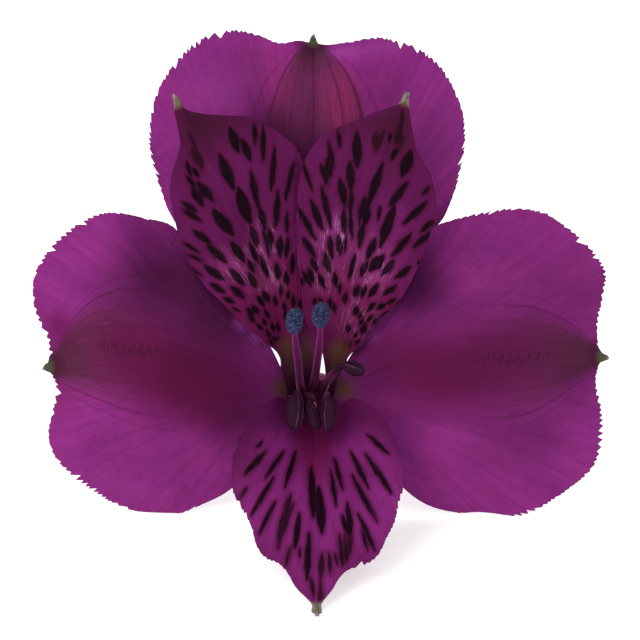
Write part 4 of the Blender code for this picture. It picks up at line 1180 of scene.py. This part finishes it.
def model_ovary(sizes):
    """The ovary: six rounded ribs, a dished top under the petals and a neck down to the stalk."""
    piece, _, turn, share = new_ball("ribbed_ovary", 96, 72)
    side, along, front = frame_along(OVARY_AXIS)
    down = 1 - share
    length = np.interp(down, (OVARY_CAP, 1 - OVARY_CAP), (-0.055, 1.055))
    girth = np.interp(length, (0.0, 0.12, 0.35, 0.6, 0.82, 1.0), (0.86, 0.98, 1.0, 0.88, 0.64, 0.42))
    rib = np.abs(np.cos(3 * turn)) ** 1.5
    relief = (0.13 * rib - 0.05) * np.interp(length, (0.0, 0.7, 1.0), (0.7, 1.0, 0.2))
    radius = sizes.ovary / MM * girth * flat_ends(down, OVARY_CAP, 0.7) * (1 + relief)
    middle = np.asarray(OVARY_TOP) + along * (length * sizes.ovary_length / MM)[:, None]
    places = middle + radius[:, None] * (side * np.cos(turn)[:, None] + front * np.sin(turn)[:, None])
    return finish_shape(piece, flower_to_world(places), rib=rib, length=length)


def model_stalk(sizes):
    """The flower stalk: faintly ribbed, with a flat cut end."""
    piece, _, turn, share = new_ball("green_stalk", 48, 190)
    length = np.interp(share, (STALK_CAP, 1 - STALK_CAP), (0.0, 1.0))
    girth = np.interp(length, (0.0, 0.12, 1.0), (1.03, 1.0, 0.98))
    ribs = 1 + 0.025 * np.cos(7 * turn + 0.8 * np.sin(5 * length)) - 0.02
    radius = sizes.stalk / MM * girth * ribs * flat_ends(share, STALK_CAP, 0.6)
    route = np.asarray(STALK_ROUTE) + (SHIFT_X, SHIFT_Y, 0.0)
    places = tube_places(route, length, turn, radius) * MM
    places[:, 2] = np.maximum(places[:, 2], 0.0)
    return finish_shape(piece, places, fibre=turn, length=length, cut=1 - share < CUT_SHARE)


class Field:
    """A value or colour that changes over a surface: one output of a node, with arithmetic."""

    def __init__(self, tree, socket):
        self.tree = tree
        self.socket = socket

    def __add__(self, other):
        return calc(self.tree, "ADD", self, other)

    def __sub__(self, other):
        return calc(self.tree, "SUBTRACT", self, other)

    def __rsub__(self, other):
        return calc(self.tree, "SUBTRACT", other, self)

    def __mul__(self, other):
        return calc(self.tree, "MULTIPLY", self, other)

    def __truediv__(self, other):
        return calc(self.tree, "DIVIDE", self, other)

    def __rtruediv__(self, other):
        return calc(self.tree, "DIVIDE", other, self)

    def __abs__(self):
        return calc(self.tree, "ABSOLUTE", self)

    def at_least(self, other):
        """The greater of this and another value."""
        return calc(self.tree, "MAXIMUM", self, other)

    def eased(self, low, high, start=0.0, end=1.0):
        """A value that goes smoothly from start to end while this one goes from low to high."""
        inputs = {"Value": self, "From Min": low, "From Max": high, "To Min": start, "To Max": end}
        return add_node(self.tree, "ShaderNodeMapRange", inputs, "Result", interpolation_type="SMOOTHSTEP")

    def fading(self, low, high, start=1.0):
        """A value that falls smoothly from start to nothing while this one goes from low to high."""
        return self.eased(low, high, start, 0.0)

    def near(self, line, width):
        """1 where this value is on a line and 0 farther than a width from it."""
        return abs(self - line).fading(0.0, width)


def feed(value, target):
    """Links a field to a node's input, or writes a plain value there."""
    if isinstance(value, Field):
        value.tree.links.new(value.socket, target)
    else:
        target.default_value = value


def add_node(tree, kind, inputs, output=0, **settings):
    """A node with its settings and inputs, and one of its outputs as a field."""
    node = tree.nodes.new(kind)
    for name, value in settings.items():
        setattr(node, name, value)
    for name, value in inputs.items():
        feed(value, node.inputs[name])
    return Field(tree, node.outputs[output])


def calc(tree, operation, *values):
    """One operation on fields or numbers, such as a sum or a product."""
    return add_node(tree, "ShaderNodeMath", dict(enumerate(values)), operation=operation)


def noise(tree, where, scale, detail=3.0, roughness=0.5):
    """A noise pattern at a place, about 0.5 in the middle."""
    inputs = {"Vector": where, "Scale": scale, "Detail": detail, "Roughness": roughness}
    return add_node(tree, "ShaderNodeTexNoise", inputs, "Fac")


def noise_over(tree, x, y, z=0.0, detail=2.0, roughness=0.5):
    """A noise pattern over two or three fields."""
    return noise(tree, add_node(tree, "ShaderNodeCombineXYZ", {0: x, 1: y, 2: z}), 1.0, detail, roughness)


def object_place(tree):
    """Each place in the object's own coordinates."""
    return add_node(tree, "ShaderNodeTexCoord", {}, "Object")


def new_group(name, inputs, outputs):
    """An empty shader node group with named number inputs and outputs."""
    tree = bpy.data.node_groups.new(name, "ShaderNodeTree")
    for label, value in inputs.items():
        tree.interface.new_socket(label, in_out="INPUT", socket_type="NodeSocketFloat").default_value = value
    for label in outputs:
        tree.interface.new_socket(label, in_out="OUTPUT", socket_type="NodeSocketFloat")
    given = tree.nodes.new("NodeGroupInput").outputs
    made = tree.nodes.new("NodeGroupOutput").inputs
    return tree, {label: Field(tree, given[label]) for label in inputs}, made


def petal_veins(name):
    """Veins that run along a petal and fan out with it: thin lines, broad shades between them and fibres."""
    inputs = {"Across": 0.0, "Along": 0.0, "Count": 60.0, "Stretch": 2.0, "Thin": 0.06}
    tree, given, made = new_group(name, inputs, ("Lines", "Shades", "Fibres"))
    x, y = given["Across"] * given["Count"], given["Along"] * given["Stretch"]
    ridge = abs(noise_over(tree, x, y, roughness=0.45) - 0.5)
    feed((1.0 - ridge / given["Thin"]).at_least(0.0), made["Lines"])
    shades = noise_over(tree, x * SHADES_TO_LINES, y, 7.0, detail=3.0, roughness=0.55)
    feed(shades.eased(0.3, 0.7), made["Shades"])
    feed(noise_over(tree, x * FIBRES_TO_LINES, y * 3.0, 3.0, roughness=0.6), made["Fibres"])
    return tree


def petal_cells(name):
    """The fine velvet of a petal's cells: a height for bump, and a sparkle, mottle and drift for colour."""
    tree, given, made = new_group(name, {"Width": 0.00012}, ("Height", "Sparkle", "Mottle", "Drift"))
    inputs = {0: object_place(tree), "Scale": 1.0 / given["Width"]}
    place = add_node(tree, "ShaderNodeVectorMath", inputs, operation="SCALE")
    rims = add_node(tree, "ShaderNodeTexVoronoi", {"Vector": place, "Scale": 1.0}, "Distance")
    feed((1.0 - rims) + noise(tree, place, 0.6, 2.0), made["Height"])
    feed(noise(tree, place, SPARKLE_SCALE, 1.0).eased(0.56, 0.74), made["Sparkle"])
    feed(noise(tree, place, MOTTLE_SCALE, 3.0, 0.6), made["Mottle"])
    feed(noise(tree, place, DRIFT_SCALE, 2.0).eased(0.36, 0.64), made["Drift"])
    return tree


def mark_edge(name):
    """The edge of a dark mark: a crisp feathered core and a softer rim round it."""
    inputs = {"Depth": 0.0, "Across": 0.0, "Along": 0.0, "Ragged": 0.36, "Rim": 0.6}
    tree, given, made = new_group(name, inputs, ("Core", "Rim"))
    across, along = given["Across"] * FEATHERS_ACROSS, given["Along"] * FEATHERS_ALONG
    wander = (noise_over(tree, across, along, detail=3.0, roughness=0.6) - 0.5) * given["Ragged"]
    depth = given["Depth"] + wander
    feed(depth.eased(*CORE_EDGE), made["Core"])
    feed((depth / given["Rim"]).eased(-1.0, 0.1), made["Rim"])
    return tree


GROUPS = {"petal_veins": petal_veins, "petal_cells": petal_cells, "mark_edge": mark_edge}


class Skin:
    """A material under way: its one shader, what the mesh keeps for it and the colour laid on so far."""

    def __init__(self, name, colours, base, roughness, specular, sheen=0.0):
        self.material = bpy.data.materials.new(name)
        self.material.use_nodes = True
        self.tree = self.material.node_tree
        self.inputs = self.tree.nodes["Principled BSDF"].inputs
        self.colours = colours
        self.colour = self.tone(base)
        self.set(("Roughness", roughness), ("Specular IOR Level", specular))
        self.set(("Sheen Weight", sheen), ("Sheen Roughness", SHEEN_ROUGHNESS))

    def set(self, *values):
        """Feeds values to the shader's inputs by name."""
        for label, value in values:
            feed(value, self.inputs[label])

    def __getitem__(self, name):
        """A value that the mesh keeps for each vertex."""
        return add_node(self.tree, "ShaderNodeAttribute", {}, "Fac", attribute_name=name)

    def tone(self, colour):
        """One of the user's colours by its name, or a colour that is already worked out."""
        return tuple(getattr(self.colours, colour)) if isinstance(colour, str) else colour

    def mix(self, share, below, above):
        """One colour laid over another by a share from 0 to 1."""
        inputs = {0: share, 6: self.tone(below), 7: self.tone(above)}
        return add_node(self.tree, "ShaderNodeMix", inputs, 2, data_type="RGBA")

    def over(self, share, colour):
        """Lays a colour over what is there."""
        self.colour = self.mix(share, self.colour, colour)

    def group(self, name, **values):
        """A node group placed in the material, with its inputs fed by name, and its outputs as fields."""
        node = self.tree.nodes.new("ShaderNodeGroup")
        node.node_tree = bpy.data.node_groups.get(name) or GROUPS[name](name)
        for label, value in values.items():
            feed(value, node.inputs[label])
        return {output.name: Field(self.tree, output) for output in node.outputs}

    def across_and_along(self):
        """How far across and along its petal each place is, from the petal's own map."""
        place = add_node(self.tree, "ShaderNodeUVMap", {}, "UV")
        return {
            "Across": add_node(self.tree, "ShaderNodeSeparateXYZ", {0: place}, "X"),
            "Along": add_node(self.tree, "ShaderNodeSeparateXYZ", {0: place}, "Y"),
        }

    def finish(self, height=None, depth=0.0):
        """The material with its colour, and with finer relief than the mesh holds, of a depth in metres."""
        self.set(("Base Color", self.colour))
        if height:
            inputs = {"Strength": 1.0, "Distance": depth, "Height": height}
            self.set(("Normal", add_node(self.tree, "ShaderNodeBump", inputs, "Normal")))
        return self.material


def outer_skin(name, colours, dark_lines, edge, fade, gloom, flecked, warmth):
    """Outer petals: magenta lobes with fan veins, a maroon panel with dark veins and a green point.

    The panel's edge and its fade from the point are given as where they start and end, gloom is
    how far its dark end reaches, and flecked how strong the flecks across it are."""
    skin = Skin(name, colours, "lobe", 0.6, 0.03)
    place = skin.across_and_along()
    veins = skin.group("petal_veins", **place, **LOBE_VEINS)
    main_veins = skin.group("petal_veins", **place, **MAIN_VEINS)
    cells = skin.group("petal_cells")
    tip, ratio, offset, point = skin["tip"], skin["panel"], skin["offset"], skin["point"]
    skin.over(cells["Drift"], "lobe_cool")
    skin.over(veins["Shades"] * 0.15 + cells["Mottle"] * 0.36, "lobe_deep")
    skin.over(veins["Lines"] * 0.2 + main_veins["Lines"] * 0.16, "vein")

    sway = noise_over(skin.tree, ratio * 1.6, tip * 0.3)
    bent = ratio + (sway - 0.5) * PANEL_SWAY
    inside = abs(bent).fading(*edge) * tip.fading(*fade)
    panel = skin.mix(cells["Mottle"] * 0.4, "panel", "panel_vein")
    panel = skin.mix(point.fading(1.5, gloom), panel, "olive")
    skin.over(inside * 0.85, panel)
    skin.over(skin["warm"] * 0.92, warmth)
    # Painted shade and darker tone: the deep patches darken the lobes under the inner petals and where they
    # turn from the light.
    skin.over(skin["deep"] * 0.92, "lobe_deep")

    lines = 0.0
    for line, width, strength in dark_lines:
        lines = (bent.near(line, width) * strength).at_least(lines)
    lines = lines * tip.fading(fade[0], fade[1] + 4.0, 0.75)
    fibres = skin.group("petal_veins", Across=bent, Along=tip, **PANEL_FIBRES)
    lines = lines.at_least(fibres["Lines"] * inside * 0.3)
    flecks = noise_over(skin.tree, tip * FLECKS_ALONG, offset * FLECKS_ACROSS, 4.0).eased(0.49, 0.57)
    stretch = tip.eased(5.0, 8.0) * tip.fading(14.0, 18.0, flecked)
    lines = lines.at_least(flecks * offset.near(0.1, 1.7) * stretch)
    lines = lines.at_least(cells["Sparkle"] * (inside * 0.35))
    skin.over(lines, "panel_vein")

    skin.over(skin["olive"], "throat_olive")
    skin.over(point.fading(1.2, 3.2, 0.7), "blotch")
    skin.over(point.fading(0.9, 1.8), "green")
    # Painted highlight: a pale grey rim at the very point.
    skin.over(point.fading(0.15, 0.5, 0.5), "horn_edge")
    # Painted highlights: a faint pale sparkle over the lobes, and lilac light on the rolled edges where the
    # pale patches lie.
    skin.over(cells["Sparkle"] * 0.04, "pale")
    skin.over(skin["pale"] * 0.8, "lilac")

    outside = skin.mix(abs(ratio).fading(0.1, 0.9) * 0.75, "outside", "outside_rib")
    outside = skin.mix(veins["Lines"] * 0.45, outside, "vein")
    skin.over(skin["outside"].eased(*BACK_EDGE), outside)
    return skin.finish(cells["Height"] * 0.5 + veins["Fibres"] * 0.7 - veins["Lines"] * 0.3, 0.00005)


def top_petal_skin(name, colours):
    """The top petal: a sharply veined panel that is rosier on its right."""
    return outer_skin(name, colours, TOP_VEINS, **TOP_PANEL)


def side_petal_skin(name, colours):
    """The side petals: a soft panel that melts into the crimson middle of the petal."""
    return outer_skin(name, colours, SIDE_VEINS, **SIDE_PANEL)


def inner_petal_skin(name, colours):
    """Inner petals: violet ground, redder to the throat, with dark streaks, painted pale sparkle and glints,
    and a green horn.
    """
    skin = Skin(name, colours, "inner", 0.55, 0.03)
    place = skin.across_and_along()
    veins = skin.group("petal_veins", **place, **INNER_VEINS)
    cells = skin.group("petal_cells", Width=0.00014)
    point, pale, rim = skin["point"], skin["pale"], skin["rim"]
    skin.over(skin["light"], "inner_light")
    skin.over(skin["warm"] * 0.75, "inner_warm")
    skin.over(veins["Shades"] * 0.3, "halo")
    skin.over(veins["Lines"] * 0.25, "halo")
    # Painted sheen: a pale tint and sparkle where the pale patches lie, on the ridges between the streaks.
    skin.over(pale * 0.1, "pale")
    skin.over((pale * 0.2 + 0.02) * (cells["Sparkle"] + veins["Fibres"].eased(0.4, 0.7)), "pale")
    skin.over(skin["deep"] * 0.85, "blotch")

    blotch = skin.group("mark_edge", Depth=skin["blotch"], **place, Ragged=0.55, Rim=0.7)
    skin.over(blotch["Rim"] * 0.65, "halo")
    skin.over(blotch["Core"] * veins["Fibres"].eased(0.35, 0.6, 0.74, 1.0), "blotch_core")
    streak = skin.group("mark_edge", Depth=skin["streak"], **place)
    skin.over(streak["Rim"] * 0.7, "halo")
    skin.over(streak["Core"] * veins["Fibres"].eased(0.3, 0.6, 0.88, 1.0), "streak")
    # Painted highlights: thin glints along those ridges, kept off the streaks.
    fine = skin.group("petal_veins", **place, **GLINT_LINES)
    glint = fine["Lines"].eased(0.1, 0.8, 0.0, 0.75) * fine["Shades"].eased(0.35, 0.65)
    skin.over(glint * streak["Core"].eased(0.0, 1.0, 1.0, 0.12) * pale, "glint")

    skin.over(skin["olive"], "throat_olive")
    skin.over(point.fading(1.2, 2.0), "horn")
    # Painted shade: away from the point, the margins darken towards blotch brown, dimming the light that the
    # thin cut edge catches.
    skin.over(rim.fading(0.0, 0.22, 0.25) * point.eased(2.0, 4.0), "blotch")
    # Painted highlight: a pale grey rim round the horn and on its very point.
    horn_rim = point.fading(1.2, 2.4) * rim.fading(0.02, 0.12, 0.5)
    skin.over(horn_rim.at_least(point.fading(0.15, 0.6, 0.7)), "horn_edge")

    outside = skin.mix(veins["Lines"] * 0.5, "outside", "vein")
    outside = skin.mix(place["Across"].near(0.5, 0.16), outside, "outside_rib")
    outside = skin.mix(point.fading(1.2, 3.4), outside, "green")
    skin.over(skin["outside"].eased(*BACK_EDGE), outside)
    return skin.finish(cells["Height"] * 0.4 + veins["Fibres"] - streak["Core"] * 0.3, 0.00006)


def filament_skin(name, colours):
    """Filaments and style: dark magenta with pale lines along their edges."""
    skin = Skin(name, colours, "filament", 0.45, 0.1)
    cells = skin.group("petal_cells", Width=0.0001)
    dark, length = skin["dark"], skin["length"]
    skin.over(cells["Mottle"], "halo")
    skin.over(dark * 0.6, "throat")
    skin.over(skin["edge"] * (0.6 - dark * 0.3), "filament_line")
    skin.over(length.fading(0.1, 0.6, 0.85), "throat")
    skin.over(length.eased(0.78, 0.9) * dark.eased(0.6, 0.69), "anther")
    return skin.finish(cells["Height"], 0.00002)


def closed_anther_skin(name, colours):
    """Closed anthers: nearly black purple skin with pale seams."""
    skin = Skin(name, colours, "anther", 0.42, 0.05)
    cells = skin.group("petal_cells", Width=0.00009)
    # Painted shade: the furrow darkens towards streak black.
    skin.over(skin["furrow"] * 0.8, "streak")
    patchy = cells["Mottle"].eased(0.35, 0.6, 0.3, 1.0)
    skin.over(skin["seam"].eased(0.3, 0.9, 0.0, 0.6) * patchy, "anther_line")
    # Painted highlight: faint pale specks of satin sheen.
    skin.over(cells["Sparkle"] * 0.05, "anther_line")
    return skin.finish(cells["Height"], 0.00003)


def pollen_skin(name, colours):
    """Open anthers: matt blue-grey pollen, each clump a little lighter or darker."""
    skin = Skin(name, colours, "pollen", 0.85, 0.04)
    cells = skin.group("petal_cells", Width=0.00006)
    skin.over(skin["light"], "pollen_light")
    skin.over(cells["Sparkle"] * 0.25, "pollen_light")
    return skin.finish(cells["Height"], 0.00003)


def ovary_skin(name, colours):
    """The ovary: waxy green, paler on its ribs, purple and then dark crimson near the petals."""
    skin = Skin(name, colours, "ovary", 0.6, 0.1)
    cells = skin.group("petal_cells", Width=0.00016)
    length = skin["length"]
    skin.over((1.0 - skin["rib"]) * 0.5, "olive")
    skin.over(length.fading(0.0, 0.6, 0.7) * cells["Mottle"], "flush")
    skin.over(length.fading(0.2, 0.5), "throat")
    return skin.finish(cells["Height"], 0.00003)


def stalk_skin(name, colours):
    """The stalk: green with fine fibres along it, a purple flush on top and a pale wet cut."""
    skin = Skin(name, colours, "stalk", 0.45, 0.5, sheen=0.05)
    cells = skin.group("petal_cells", Width=0.00016)
    turn, length = skin["fibre"], skin["length"]
    x, y = (calc(skin.tree, way, turn) * STALK_FIBRES for way in ("COSINE", "SINE"))
    fibres = noise_over(skin.tree, x, y, length * 5.0, detail=4.0, roughness=0.6)
    skin.over(fibres.eased(0.4, 0.7, 0.0, 0.6), "olive")
    skin.over(fibres.fading(0.25, 0.42, 0.45), "outside_rib")
    skin.over(length.eased(0.0, 0.45, 0.8, 0.1) * cells["Mottle"], "flush")
    skin.over(skin["cut"] * 0.8, tint(*PITH))
    return skin.finish(cells["Height"] * 0.3 + fibres, 0.00006)


def pale_floor(name, colours):
    """The plain pale floor: matt, with the faintest mottle, and a faint glow of its own that lightens the
    shadows on it.
    """
    skin = Skin(name, colours, "floor", 0.9, 0.1)
    skin.over(noise(skin.tree, object_place(skin.tree), 14.0) * 0.03, tint(*FLOOR_GREY))
    skin.set(("Emission Color", WHITE), ("Emission Strength", FLOOR_GLOW))
    return skin.finish()


SKINS = {
    "top_petal_skin": top_petal_skin,
    "side_petal_skin": side_petal_skin,
    "inner_petal_skin": inner_petal_skin,
    "filament_skin": filament_skin,
    "closed_anther_skin": closed_anther_skin,
    "pollen": pollen_skin,
    "ovary_skin": ovary_skin,
    "stalk_skin": stalk_skin,
    "pale_floor": pale_floor,
}


def shared_material(name):
    """A material by its name, made when it is first asked for."""
    return bpy.data.materials.get(name) or SKINS[name](name, bpy.context.scene.flower_colours)


class FLOWER_OT_outer_petals(bpy.types.Operator):
    """Model the three broad outer petals with their saw edges, panels and green points"""

    bl_idname = "flower.outer_petals"
    bl_label = "Outer petals"

    def execute(self, context):
        for name in PETALS:
            if "outer" in name:
                skin = "top_petal_skin" if name == "tepal_outer_top" else "side_petal_skin"
                finish_piece(model_petal(name, context.scene.flower_sizes), name, skin)
        return {"FINISHED"}


class FLOWER_OT_inner_petals(bpy.types.Operator):
    """Model the three pointed inner petals with their dark streaks"""

    bl_idname = "flower.inner_petals"
    bl_label = "Inner petals"

    def execute(self, context):
        for name in PETALS:
            if "inner" in name:
                piece = model_petal(name, context.scene.flower_sizes)
                finish_piece(piece, name, "inner_petal_skin")
        return {"FINISHED"}


class FLOWER_OT_filaments(bpy.types.Operator):
    """Model the six filaments"""

    bl_idname = "flower.filaments"
    bl_label = "Filaments"

    def execute(self, context):
        for place, stamen in STAMENS.items():
            piece = model_filament(place, stamen, context.scene.flower_sizes)
            finish_piece(piece, "filament_" + place, "filament_skin")
        return {"FINISHED"}


class FLOWER_OT_closed_anthers(bpy.types.Operator):
    """Model the four closed dark anthers"""

    bl_idname = "flower.closed_anthers"
    bl_label = "Closed anthers"

    def execute(self, context):
        for place, stamen in STAMENS.items():
            if stamen["size"] is not OPEN_ANTHER:
                piece = model_closed_anther(place, stamen)
                finish_piece(piece, "anther_" + place, "closed_anther_skin")
        return {"FINISHED"}


class FLOWER_OT_pollen_anthers(bpy.types.Operator):
    """Model the two open anthers, covered with blue-grey pollen"""

    bl_idname = "flower.pollen_anthers"
    bl_label = "Pollen anthers"

    def execute(self, context):
        for place, stamen in STAMENS.items():
            if stamen["size"] is OPEN_ANTHER:
                piece = model_pollen_anther(place, stamen, context.scene.flower_sizes)
                finish_piece(piece, "anther_" + place, "pollen")
        return {"FINISHED"}


class FLOWER_OT_style(bpy.types.Operator):
    """Model the young style with its three stigma lobes"""

    bl_idname = "flower.style"
    bl_label = "Style"

    def execute(self, context):
        finish_piece(model_style(context.scene.flower_sizes), "style", "filament_skin")
        return {"FINISHED"}


class FLOWER_OT_ovary(bpy.types.Operator):
    """Model the six-ribbed green ovary"""

    bl_idname = "flower.ovary"
    bl_label = "Ovary"

    def execute(self, context):
        finish_piece(model_ovary(context.scene.flower_sizes), "ovary", "ovary_skin")
        return {"FINISHED"}


class FLOWER_OT_stalk(bpy.types.Operator):
    """Model the flower stalk down to its cut end"""

    bl_idname = "flower.stalk"
    bl_label = "Flower stalk"

    def execute(self, context):
        finish_piece(model_stalk(context.scene.flower_sizes), "flower_stalk", "stalk_skin")
        return {"FINISHED"}


def add_softbox(name, place, aim, width, power, colour):
    """A round soft light that looks at a place, all in metres."""
    data = bpy.data.lights.new(name, "AREA")
    data.shape = "DISK"
    data.size = width
    data.energy = power
    data.color = colour
    light = bpy.data.objects.new(name, data)
    bpy.context.scene.collection.objects.link(light)
    light.location = place
    light.rotation_euler = (Vector(aim) - Vector(place)).to_track_quat("-Z", "Y").to_euler()
    light.visible_camera = False


class FLOWER_OT_studio(bpy.types.Operator):
    """Set the pale floor, the soft lights and the camera that looks into the bloom"""

    bl_idname = "flower.studio"
    bl_label = "Studio"

    def execute(self, context):
        scene = context.scene
        deselect_all()
        bpy.ops.mesh.primitive_plane_add(size=scene.flower_sizes.floor, location=(0.0, 0.0, -FLOOR_DROP))
        floor = context.object
        floor.name = "studio_floor"
        pick(floor)
        bpy.ops.object.transform_apply(location=True, rotation=True, scale=True)
        floor.data.materials.append(shared_material("pale_floor"))

        centre = flower_to_world(VIEW_CENTRE)
        for name, place, width, power, colour in SOFTBOXES:
            add_softbox(name, place, tuple(centre), width, power, colour)
        world = bpy.data.worlds.new("soft_studio")
        world.use_nodes = True
        background = world.node_tree.nodes["Background"]
        background.inputs["Color"].default_value = WHITE
        background.inputs["Strength"].default_value = SKY_STRENGTH
        scene.world = world
        scene.view_settings.view_transform = "Standard"

        camera_data = bpy.data.cameras.new("view_camera")
        camera_data.lens = CAMERA_LENS
        camera_data.sensor_width = SENSOR_WIDTH
        camera_data.clip_start, camera_data.clip_end = CAMERA_RANGE
        camera = bpy.data.objects.new("view_camera", camera_data)
        scene.collection.objects.link(camera)
        view = np.array((0.0, -math.cos(FACE_TILT), math.sin(FACE_TILT)))
        camera.location = centre + view * CAMERA_DISTANCE
        camera.rotation_euler = (math.pi / 2 - FACE_TILT, 0.0, 0.0)
        scene.camera = camera
        return {"FINISHED"}


OPERATORS = (
    FLOWER_OT_outer_petals,
    FLOWER_OT_inner_petals,
    FLOWER_OT_filaments,
    FLOWER_OT_closed_anthers,
    FLOWER_OT_pollen_anthers,
    FLOWER_OT_style,
    FLOWER_OT_ovary,
    FLOWER_OT_stalk,
    FLOWER_OT_studio,
)


class FLOWER_PT_panel(bpy.types.Panel):
    """Lists the flower's operators, sizes and colours"""

    bl_label = "Alstroemeria bloom"
    bl_idname = "FLOWER_PT_panel"
    bl_space_type = "VIEW_3D"
    bl_region_type = "UI"
    bl_category = "Flower"

    def draw(self, context):
        layout = self.layout
        for operator in OPERATORS:
            layout.operator(operator.bl_idname)
        for group in (context.scene.flower_sizes, context.scene.flower_colours):
            box = layout.box()
            for name in group.__annotations__:
                box.prop(group, name)


CLASSES = (FlowerSizes, FlowerColours) + OPERATORS + (FLOWER_PT_panel,)


def register():
    for each in CLASSES:
        bpy.utils.register_class(each)
    bpy.types.Scene.flower_sizes = bpy.props.PointerProperty(type=FlowerSizes)
    bpy.types.Scene.flower_colours = bpy.props.PointerProperty(type=FlowerColours)


def unregister():
    del bpy.types.Scene.flower_colours
    del bpy.types.Scene.flower_sizes
    for each in reversed(CLASSES):
        bpy.utils.unregister_class(each)


def main():
    """Makes every piece and the stage."""
    register()
    for operator in OPERATORS:
        family, name = operator.bl_idname.split(".")
        getattr(getattr(bpy.ops, family), name)()


if __name__ == "__main__":
    main()
